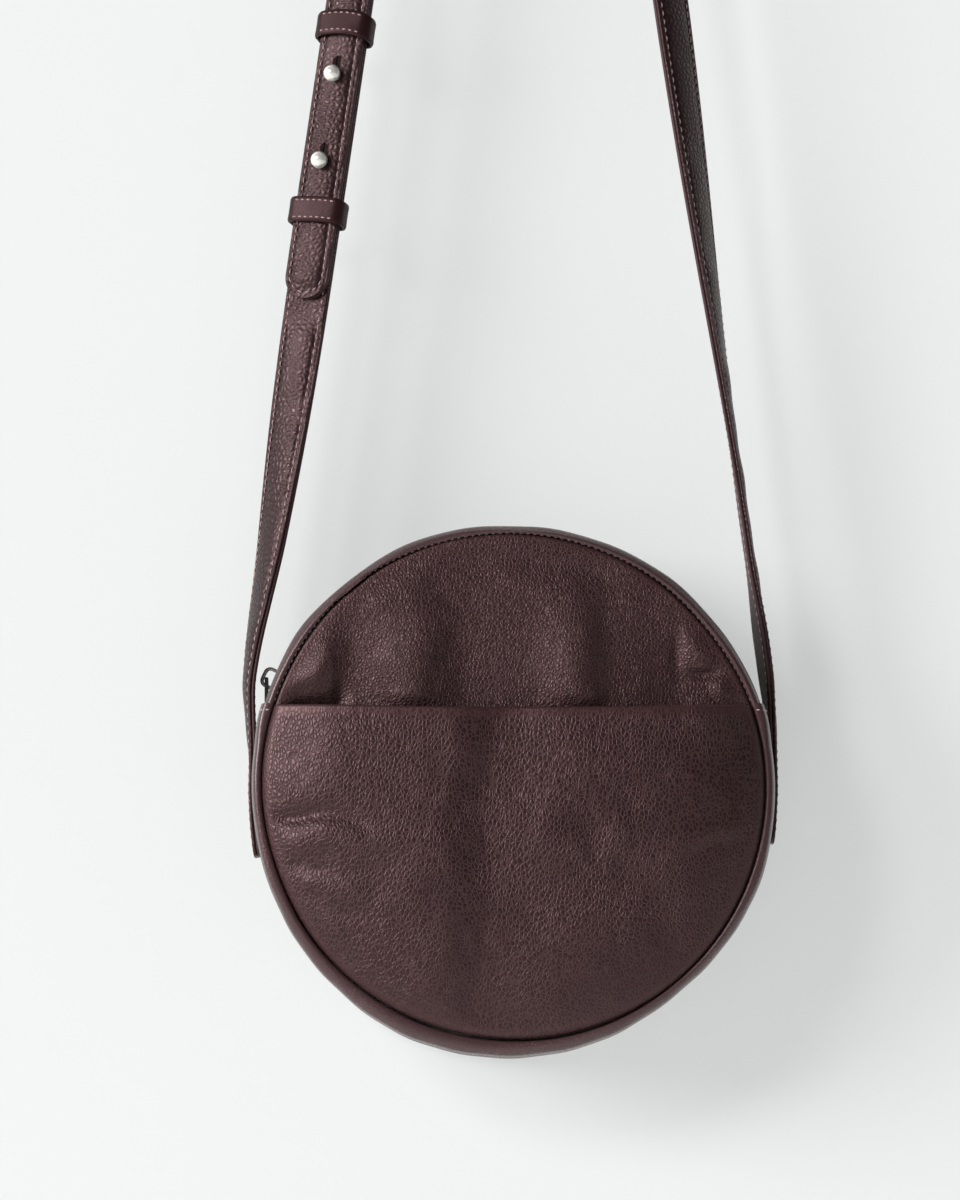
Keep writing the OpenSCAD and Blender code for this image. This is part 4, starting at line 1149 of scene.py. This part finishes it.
def keeper_ring():
    """Points round the loop: out of the face and across the strap."""
    pts = []
    for quarter, (sx, sy) in enumerate(((1, 1), (-1, 1), (-1, -1), (1, -1))):
        for t in np.radians(np.linspace(0, 90, 9) + 90 * quarter):
            pts.append((sx * (KEEPER_HALF_T - KEEPER_CORNER) + KEEPER_CORNER * math.cos(t),
                        sy * (KEEPER_HALF_W - KEEPER_CORNER) + KEEPER_CORNER * math.sin(t)))
    dense = []
    for p, q in zip(pts, pts[1:] + pts[:1]):
        steps = max(1, int(math.dist(p, q) / RING_STEP))
        dense += [(p[0] + (q[0] - p[0]) * j / steps, p[1] + (q[1] - p[1]) * j / steps) for j in range(steps)]
    return dense


def keeper(label, h, tip, arch, flare):
    """tip raises the front over the back, arch bends the front's edges, flare opens its lower edge."""
    turn = left_frame(h)

    def worn_in(x, y, z):
        front = min(1.0, max(0.0, x / KEEPER_HALF_T))
        belly = front * (1 - (y / 12.5) ** 2)
        bulge = belly * (0.9 + flare * (0.5 - z / KEEPER_LEN))
        rise = tip * x / KEEPER_HALF_T + arch * (belly - 0.5 * front) + 0.2 * math.sin(y / 5)
        return tuple(turn @ (Vector((KEEPER_MID + x + bulge, y, z + rise)) * MM))

    ring, rows = keeper_ring(), []
    for share in np.linspace(-1, 1, KEEPER_ROWS):
        edge = 1 - math.sqrt(max(0.0, 1 - max(0.0, abs(share) - 0.8) ** 2 / 0.2 ** 2))
        rows.append([worn_in(x * (1 - 0.07 * edge), y * (1 - 0.03 * edge) * (1 + 0.012 * share * share),
                             share * KEEPER_LEN / 2 * (1 - 0.06 * (abs(y) / 12) ** 4)) for x, y in ring])
    loop = shell("keeper_loop_" + label, np.array(rows), KEEPER_T * 0.92, keeper_leather, wrap=True,
                 middle=turn @ Vector((KEEPER_MID * MM, 0, 0)), rub_and_sheen=np.full((KEEPER_ROWS, len(ring)), 0.1))
    dress(loop, "leather", label + "_keeper", "keeper_" + label)
    look = tuple(turn.to_3x3() @ Vector((1, 0, 0)))
    for edge_label, off in (("low", -1), ("high", 1)):
        pts = [worn_in(KEEPER_HALF_T - 0.02, y, off * (KEEPER_LEN / 2 - KEEPER_INSET))
               for y in np.linspace(-KEEPER_ROW_HALF, KEEPER_ROW_HALF, 32)]
        row = stitch_row(f"keeper_loop_{label}_stitches_{edge_label}", pts, [look] * len(pts), rose_thread,
                         pitch_mm=KEEPER_PITCH, length_mm=KEEPER_STITCH)
        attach(row, label + "_keeper")


keeper("upper", UPPER_KEEPER_H, tip=1.5, arch=1.8, flare=1.6)
keeper("lower", LOWER_KEEPER_H, tip=0.8, arch=0.5, flare=0.5)

# %% [markdown]
# ## Studs
# A stud is turned on a lathe: a flat foot, a thin neck and a ball that the tongue snaps over. In Blender
# the same outline, carried round an axis, gives the same shape. The screw behind it has a wide flat head
# with a slot.

# %% Studs and their screws
BALL_R, NECK_R, NECK_RISE, FOOT_R, SCREW_R = 3.5, 2.0, 0.6, 3.0, 4.0
TONGUE_TOP = 3 * PLY_T + STRAP_GAP
BALL_X = TONGUE_TOP + NECK_RISE + math.sqrt(BALL_R ** 2 - NECK_R ** 2)
STUD_OUTLINE = [(-PLY_T + 0.05, FOOT_R - 0.1), (-PLY_T + 0.45, FOOT_R), (-PLY_T + 0.6, NECK_R),
                (TONGUE_TOP + 0.1, NECK_R), (TONGUE_TOP + 0.25, NECK_R * 0.94)]
STUD_OUTLINE += [(BALL_X - BALL_R * math.cos(t), BALL_R * math.sin(t))
                 for t in np.linspace(math.asin(NECK_R / BALL_R), math.pi - 0.04, 26)]
SCREW_OUTLINE = [(-PLY_T - down, SCREW_R - drawn_in) for down, drawn_in in
                 ((0.02, 0), (0.55, 0), (0.85, 0.15), (0.97, 0.5))]
SCREW_OUTLINE += [(-PLY_T - 1.0, r) for r in np.linspace(3.3, 0.1, 14)]
TURNED_SIDES = 56


def slot_dent(y, z):
    """Depth of the screw's slot."""
    return 0.38 * (1 - ease(abs(z), 0.32, 0.5)) * (1 - ease(abs(y), 2.9, 3.3))


def turned(name, turn, outline, dent=None):
    """Carries an outline of (along the axis, radius) round the stud's axis."""
    points = []
    for x, r in outline:
        for k in range(TURNED_SIDES):
            a = 2 * math.pi * k / TURNED_SIDES
            y, z = r * math.cos(a), r * math.sin(a)
            points.append(turn @ (Vector((x + (dent(y, z) if dent else 0), y, z)) * MM))
    return new_piece(name, points, tube_faces(len(outline), TURNED_SIDES), pale_metal, crease=35)


for label, h in (("lower", LOWER_STUD_H), ("upper", UPPER_STUD_H)):
    turn = left_frame(h)
    dress(turned("ball_stud_" + label, turn, STUD_OUTLINE), "nickel", "strap", "stud_" + label)
    dress(turned("stud_screw_head_" + label, turn, SCREW_OUTLINE, dent=slot_dent), "nickel", "strap",
          "stud_screw_" + label)

# %% [markdown]
# ## Zip chain
# A zip is two woven tapes, each with a row of teeth clamped on its edge. The front tape opens with the
# mouth, but here no body carries it; the back tape rides on the bag.

# %% Zip tapes
CHAIN_MID_R, TAPE_DROP, TAPE_T = 103.8, 1.45, 0.5
ZIP_END_H = MOUTH_H + 0.6


def crown_radius(depth):
    """Radius of the strips over the zip: full at the zip and less towards both seams."""
    t = np.clip((np.abs(depth) - 10.07) / 18.53, 0, 1)
    return CROWN_R - 4 * t ** 1.8


def strip_grid(depths, radii, end_h, count):
    return np.array([round_bag(radii, angle, depths) for angle in sweep(height_end(radii, end_h), False, count)])


for label, side, carrier in MOUTH_HALVES:
    depths = side * np.array([0.8, 1.2, 2.0, 3.2, 4.6, 6.3, 8.6, 11.0, 13.1])
    grid = strip_grid(depths, crown_radius(depths) - TAPE_DROP, ZIP_END_H, 170)
    dress(shell(f"zip_tape_{label}_woven", grid, TAPE_T, tape_cloth), "tape", carrier, "zip_tape_" + label)

# %% [markdown]
# ## Zip teeth
# The teeth of one row sit in the gaps of the other. One tooth is modelled with bevelled edges, as a broad
# foot with a smaller head, and then set along the curve, once for each place.

# %% Zip teeth
TOOTH_PITCH, TOOTH_FROM, TOOTH_BEVEL = 3.0, 20.2, 0.26
TOOTH_BOXES = [(0.72, 0.95, 3.15, -1.3, 1.32), (0.6, 0.34, 1.3, -0.75, 0.95)]


def tooth_shape():
    """One tooth about the chain's middle: (along, depth, radius) in millimetres."""
    bm = bmesh.new()
    for half_t, near, far, low, high in TOOTH_BOXES:
        for v in bmesh.ops.create_cube(bm, size=1.0)["verts"]:
            v.co = Vector((v.co.x * 2 * half_t, (near + far) / 2 + v.co.y * (far - near),
                           (low + high) / 2 + v.co.z * (high - low)))
    bmesh.ops.bevel(bm, geom=list(bm.edges), offset=TOOTH_BEVEL, segments=2, profile=0.5, affect="EDGES")
    verts = np.array([tuple(v.co) for v in bm.verts])
    faces = [tuple(v.index for v in f.verts) for f in bm.faces]
    bm.free()
    return verts, faces


def teeth(name, side, offset):
    step = math.degrees(TOOTH_PITCH / CHAIN_MID_R)
    (along, depth, rise), shape = tooth_verts.T, tooth_faces if side < 0 else [f[::-1] for f in tooth_faces]
    verts, faces = [], []
    for angle in np.arange(TOOTH_FROM + offset * step, 180 - TOOTH_FROM, step):
        faces += [tuple(len(verts) + i for i in f) for f in shape]
        verts += list(round_bag(CHAIN_MID_R + rise, angle, side * depth, along))
    return new_piece(name, verts, faces, dark_metal, crease=35)


tooth_verts, tooth_faces = tooth_shape()
dress(teeth("zip_teeth_front_row", 1, 0.0), "gunmetal", flap_blend, "zip_teeth_front", "zip_end_left", "zip_end_right")
dress(teeth("zip_teeth_back_row", -1, 0.5), "gunmetal", "bag", "zip_teeth_back")

# %% [markdown]
# ## Zip stops
# At each end of the chain a small rounded clip of metal, clamped across both tapes, stops the slider.

# %% Zip stops
STOP_ANGLE, STOP_HALF_LEN, STOP_HALF_W, STOP_HALF_T = 19.9, 1.1, 3.3, 1.75


def squared(t, power):
    """A point of a circle that is squared off towards its corners."""
    c, s = math.cos(t), math.sin(t)
    return math.copysign(abs(c) ** power, c), math.copysign(abs(s) ** power, s)


def around(count):
    return np.linspace(0, 2 * math.pi, count + 1)[:-1]


for label, angle in (("left", 180 - STOP_ANGLE), ("right", STOP_ANGLE)):
    rows = []
    for along in np.linspace(-STOP_HALF_LEN, STOP_HALF_LEN, 9):
        thick = STOP_HALF_T * (1 - 0.55 * (abs(along) / STOP_HALF_LEN) ** 4)
        d, r = np.array([squared(t, 0.5) for t in around(28)]).T
        rows.append(round_bag(CHAIN_MID_R + thick * r, angle, STOP_HALF_W * d, along))
    points = np.array(rows).reshape(-1, 3)
    dress(new_piece("zip_stop_" + label, points, tube_faces(9, 28), dark_metal, crease=40), "gunmetal", "bag")

# %% [markdown]
# ## Slider
# The slider is two curved plates with turned-down sides, which squeeze the teeth together. A small arch on
# the upper plate holds the pull. Each plate is a thin shell that is narrower at one end, and the arch is a
# bar carried along a bent path.

# %% Slider
SLIDER_ANGLE, PLATE_HALF_LEN, PLATE_HALF_W, PLATE_T = 154.5, 6.5, 4.6, 1.05
PLATES = {"top": (106.7, 104.5, 1), "low": (100.9, 103.1, -1)}
ARCH_FROM, ARCH_TO, ARCH_TOP_R, ARCH_TURN = -2.4, 4.45, 112.25, 1.9


def on_slider(along, depth, radius):
    """A point near the slider: along the chain downwards, towards the viewer, and out from the bag."""
    return round_bag(radius, SLIDER_ANGLE + np.degrees(np.asarray(along) / CHAIN_MID_R), depth)


def slider_plate(which):
    face_r, lip_r, sign = PLATES[which]
    rows = []
    for along in np.linspace(-PLATE_HALF_LEN, PLATE_HALF_LEN, 33):
        w = PLATE_HALF_W - 0.9 * ease(along, 1.5, PLATE_HALF_LEN) - 0.7 * (1 - ease(along, -PLATE_HALF_LEN, -4.6)) \
            - 0.25 * ease(along, 5.6, PLATE_HALF_LEN)
        dip = 0.35 * ease(abs(along), 5.6, PLATE_HALF_LEN)
        cross = [(-w, lip_r), (-w, face_r - sign * 0.9), (-w + 0.12, face_r - sign * 0.45),
                 (-w + 0.42, face_r - sign * 0.12)]
        cross += [(y, face_r) for y in np.linspace(-w + 0.9, w - 0.9, 9)] + [(-y, r) for y, r in cross[::-1]]
        rows.append([on_slider(along, d, r - sign * dip) for d, r in cross])
    return shell("slider_plate_" + which, np.array(rows), PLATE_T, dark_metal,
                 middle=on_slider(0.0, 0.0, CHAIN_MID_R))


def bar(name, centres, side, half_wide, half_thin, material):
    """A bar with a rounded section, carried along its centres."""
    centres, side = np.asarray(centres, float), np.array(side, float)
    up = np.cross(unit(np.gradient(centres, axis=0)), side)
    section = [squared(t, 0.6) for t in around(20)]
    points = [c + side * half_wide * MM * x + u * half_thin * MM * y for c, u in zip(centres, up) for x, y in section]
    return new_piece(name, points, tube_faces(len(centres), len(section)), material, crease=50)


corner = np.linspace(0.1, math.pi / 2, 9)
bend = [(ARCH_TURN * (1 - math.cos(t)), 110.0 + 2.2 * math.sin(t)) for t in corner]
foot = [(0, 106.0 + k) for k in (0, 1.2, 2.4, 3.4)] + bend
arch = [(ARCH_FROM + x, r) for x, r in foot]
arch += [(x, ARCH_TOP_R) for x in np.linspace(ARCH_FROM + 2.2, ARCH_TO - 2.2, 7)]
arch += [(ARCH_TO - x, r) for x, r in foot[::-1]]
slider_top, slider_low = slider_plate("top"), slider_plate("low")
bridge = bar("slider_bridge", [on_slider(x, 0.0, r) for x, r in arch], (0, 1, 0), 1.5, 0.75, grey_metal)
dress(slider_top, "gunmetal", "zip_slider", "zip_slider_body")
dress(slider_low, "gunmetal", "zip_slider")
dress(bridge, "nickel", "zip_slider", "zip_slider_bridge")

# %% [markdown]
# ## Pull
# The pull is a flat outline with two openings, cut from sheet metal with rounded edges. A short pin runs
# through the slider's arch and carries it.

# %% Zip pull
PULL_TOP = Vector((-0.10073, 0, BAG_MIDDLE.z + 0.04561))
PULL_LEN, PULL_W, PULL_HALF_T, PULL_ROUND = 10.4, 6.0, 0.72, 0.22
WINDOW_HALF_W, WINDOW_HALF_H, WINDOW_DOWN, EYE_R = 1.82, 2.5, 2.75, 1.2
UPRIGHT = Matrix(((0, 0, 1, 0), (1, 0, 0, 0), (0, 1, 0, 0), (0, 0, 0, 1)))


def flat_loop(curve, pts):
    line = curve.splines.new("POLY")
    line.points.add(len(pts) - 1)
    for point, (y, z) in zip(line.points, pts):
        point.co = (y * MM, z * MM, 0, 1)
    line.use_cyclic_u = True


curve = bpy.data.curves.new("pull_outline", "CURVE")
curve.dimensions, curve.fill_mode = "2D", "BOTH"
curve.bevel_depth, curve.bevel_resolution = PULL_ROUND * MM, 2
curve.extrude = (PULL_HALF_T - PULL_ROUND) * MM
half = PULL_W / 2 - PULL_ROUND
low = -PULL_LEN + PULL_W / 2
outline = [(half * 0.93, 0.45), (half, -0.6), (half * 0.9, -3.4), (half * 0.93, -5.4)]
outline += [(half * math.cos(t), low + half * math.sin(t)) for t in np.linspace(0, -math.pi, 25)]
outline += [(-y, z) for y, z in outline[3::-1]]
flat_loop(curve, outline)
window = [squared(t, 0.45) for t in around(40)]
flat_loop(curve, [(WINDOW_HALF_W * y, WINDOW_HALF_H * z - WINDOW_DOWN) for y, z in window])
flat_loop(curve, [(EYE_R * math.cos(t), low + 0.1 + EYE_R * math.sin(t)) for t in around(28)])
holder = in_scene("pull_outline", curve)
bpy.context.view_layer.update()
pull_mesh = bpy.data.meshes.new_from_object(holder.evaluated_get(bpy.context.evaluated_depsgraph_get()))
bpy.data.objects.remove(holder)
pull_mesh.transform(Matrix.Translation(PULL_TOP) @ UPRIGHT)
pull_mesh.materials.clear()
pull_mesh.materials.append(dark_metal)
dress(in_scene("zip_pull", pull_mesh), "gunmetal", "zip_pull", "zip_pull_tab")
pin_places = [tuple(PULL_TOP + Vector((0, y * MM, 0))) for y in np.linspace(-2.9, 2.9, 12)]
dress(bar("zip_pull_pin", pin_places, (1, 0, 0), 0.74, 0.74, dark_metal), "gunmetal", "zip_pull")

# %% [markdown]
# ## Lining
# Inside, a thin cloth lining follows the leather at a small distance. It is cut as two discs and a long
# strip, and stretched lightly over the inside. Its front follows the dents of the leather, so nothing
# pokes through. The sizes that the pieces of cloth were cut to are listed in metres.

# %% Lining pieces
LINING_R, LINING_DROP, LINING_HALF_W = 98.0, 2.5, 27.6
DISC_CUT, STRIP_CUT, TOP_CUT, POCKET_CUT = (0.2, 0.2), (0.06, 0.42), (0.024, 0.27), (0.2, 0.125)


def lining_piece(name, grid, flat, carrier, *nodes):
    piece = dress(shell(name, grid, CLOTH_T, lining_cloth), "lining", None, *nodes)
    carry(piece, carrier)


def wrinkles(a, h):
    return 0.35 * np.sin(a * 0.11 + 0.05 * h) * np.cos(h * 0.09) + 0.2 * np.sin(0.31 * a - 0.2 * h)


a, h = disc_grid(LINING_R, 90)
settle = 1 - ease(np.hypot(a, h), 86, 97)
front_d = front_depth(a, h) - LEATHER_T - 0.75 - 0.3 * wrinkles(a, h) * settle
back_d = HALF_DEPTH - LEATHER_T - 1.45 - 0.5 * (wrinkles(a, h) + 0.5) * settle
lining_piece("lining_front_cloth", at_bag(a, h, front_d), DISC_CUT, flap_blend, "lining_front_upper",
             "lining_front_lower")
lining_piece("lining_back_cloth", at_bag(a, h, -back_d), DISC_CUT, "bag", "lining_back")
depths = np.linspace(-LINING_HALF_W, LINING_HALF_W, 36)
radii = crown_radius(depths) - LINING_DROP
rows = []
for angle in sweep(height_end(radii, MOUTH_H - 0.6), True, 170):
    r = radii + gusset_bulge(angle, np.full_like(depths, 5.0), True) - 0.25 * (1 + np.sin(angle * 0.35 + depths * 0.1))
    rows.append(round_bag(r, angle, depths))
lining_piece("lining_bottom_cloth", np.array(rows), STRIP_CUT, "bag", "lining_bottom_gusset")
for label, side, carrier in MOUTH_HALVES:
    depths = side * np.linspace(7.0, LINING_HALF_W, 16)
    grid = strip_grid(depths, crown_radius(depths) - LINING_DROP - 0.15, MOUTH_H + 0.4, 150)
    lining_piece(f"lining_top_{label}_cloth", grid, TOP_CUT, carrier, "lining_top_gusset_" + label)

# %% [markdown]
# ## Side patches
# Inside, a patch of leather backs each place where the strap is sewn through the gusset.

# %% Side patches
PATCH_R, PATCH_T, PATCH_HALF_W, PATCH_HALF_ANGLE = 104.0, 0.85, 9.9, 11.9

for label, middle_angle in (("left", 186.6), ("right", -6.6)):
    rows = []
    for share in np.linspace(-1, 1, 30):
        half = PATCH_HALF_W - 2.2 * max(0.0, abs(share) - 0.86) ** 2 / 0.14 ** 2
        angle = middle_angle + share * PATCH_HALF_ANGLE
        r = PATCH_R - SEWN_PULL * (1 - float(ease(abs(math.sin(math.radians(angle))), 0.13, 0.29)))
        rows.append(round_bag(r, angle, np.linspace(-half, half, 14)))
    dress(shell("patch_" + label, np.array(rows), PATCH_T, backing_leather), "leather_dark", "bag",
          "side_patch_" + label)

# %% [markdown]
# ## Stitches of the bag
# A dark topstitch runs beside the front seam, with a few stitches sewn twice to lock it, and light ones
# run along both sides of the zip. Where the lower gusset laps over the upper one, a short row of light
# stitches holds it at each side.

# %% Bag stitches
SEAM_LEAN, LOCK_SPAN, LAP_INSET = -0.45, (72.5, 80), 2.3
SEAM_PITCH, ZIP_PITCH, LAP_PITCH, ZIP_ROW_D = 2.8, 3.4, 2.9, 8.8


def ring_row(name, radius, depth, look_in, look_front, from_h, pitch, material, span=None):
    """A row round the upper bag, from seam to seam or over a span of angles. It looks along look_in out
    from the middle and look_front towards the viewer."""
    start = float(height_end(radius, from_h))
    angle = np.linspace(*(span or (start, 180 - start)), 260)
    d = np.full_like(angle, depth)
    points = round_bag(radius + gusset_bulge(angle, np.abs(d), False), angle, d)
    c, s = np.cos(np.radians(angle)) * look_in, np.sin(np.radians(angle)) * look_in
    look = np.stack([c, np.full_like(angle, -look_front), s], axis=1)
    return stitch_row(name, points, look, material, pitch_mm=pitch, length_mm=pitch * 0.7, thick_mm=0.62)


slant = math.cos(math.radians(45))
flap_blend(ring_row("stitches_front_seam", 100.95, 30.05, SEAM_LEAN, slant, 33.6, SEAM_PITCH, plum_thread))
flap_blend(ring_row("stitches_front_lock", 101.35, 30.4, SEAM_LEAN, slant, 33.6, SEAM_PITCH, plum_thread, LOCK_SPAN))
flap_blend(ring_row("stitches_zip_front", CROWN_R, ZIP_ROW_D, 1.0, 0.0, 34.0, ZIP_PITCH, rose_thread))
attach(ring_row("stitches_zip_back", CROWN_R, -ZIP_ROW_D, 1.0, 0.0, 34.0, ZIP_PITCH, rose_thread), "bag")

keep = full_r > 101.2
r, d = full_r[keep], full_d[keep]
r = r + LAP_RISE * ease(r, 101.2, 103.4) + 0.02
across_d, across_r = np.gradient(r), -np.gradient(d)
if across_r[len(r) // 2] < 0:
    across_d, across_r = -across_d, -across_r
for label, sign in (("left", -1), ("right", 1)):
    angle = height_end(r, MOUTH_H - LAP_INSET)
    angle = 180 - angle if sign < 0 else angle
    bulge = gusset_bulge(-180 - angle if sign < 0 else angle, d, True)
    c, s = np.cos(np.radians(angle)), np.sin(np.radians(angle))
    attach(stitch_row("stitches_lap_" + label, round_bag(r + bulge, angle, d),
                       np.stack([across_r * c, -across_d, across_r * s], axis=1), pale_thread, pitch_mm=LAP_PITCH,
                       length_mm=2.1), "bag")
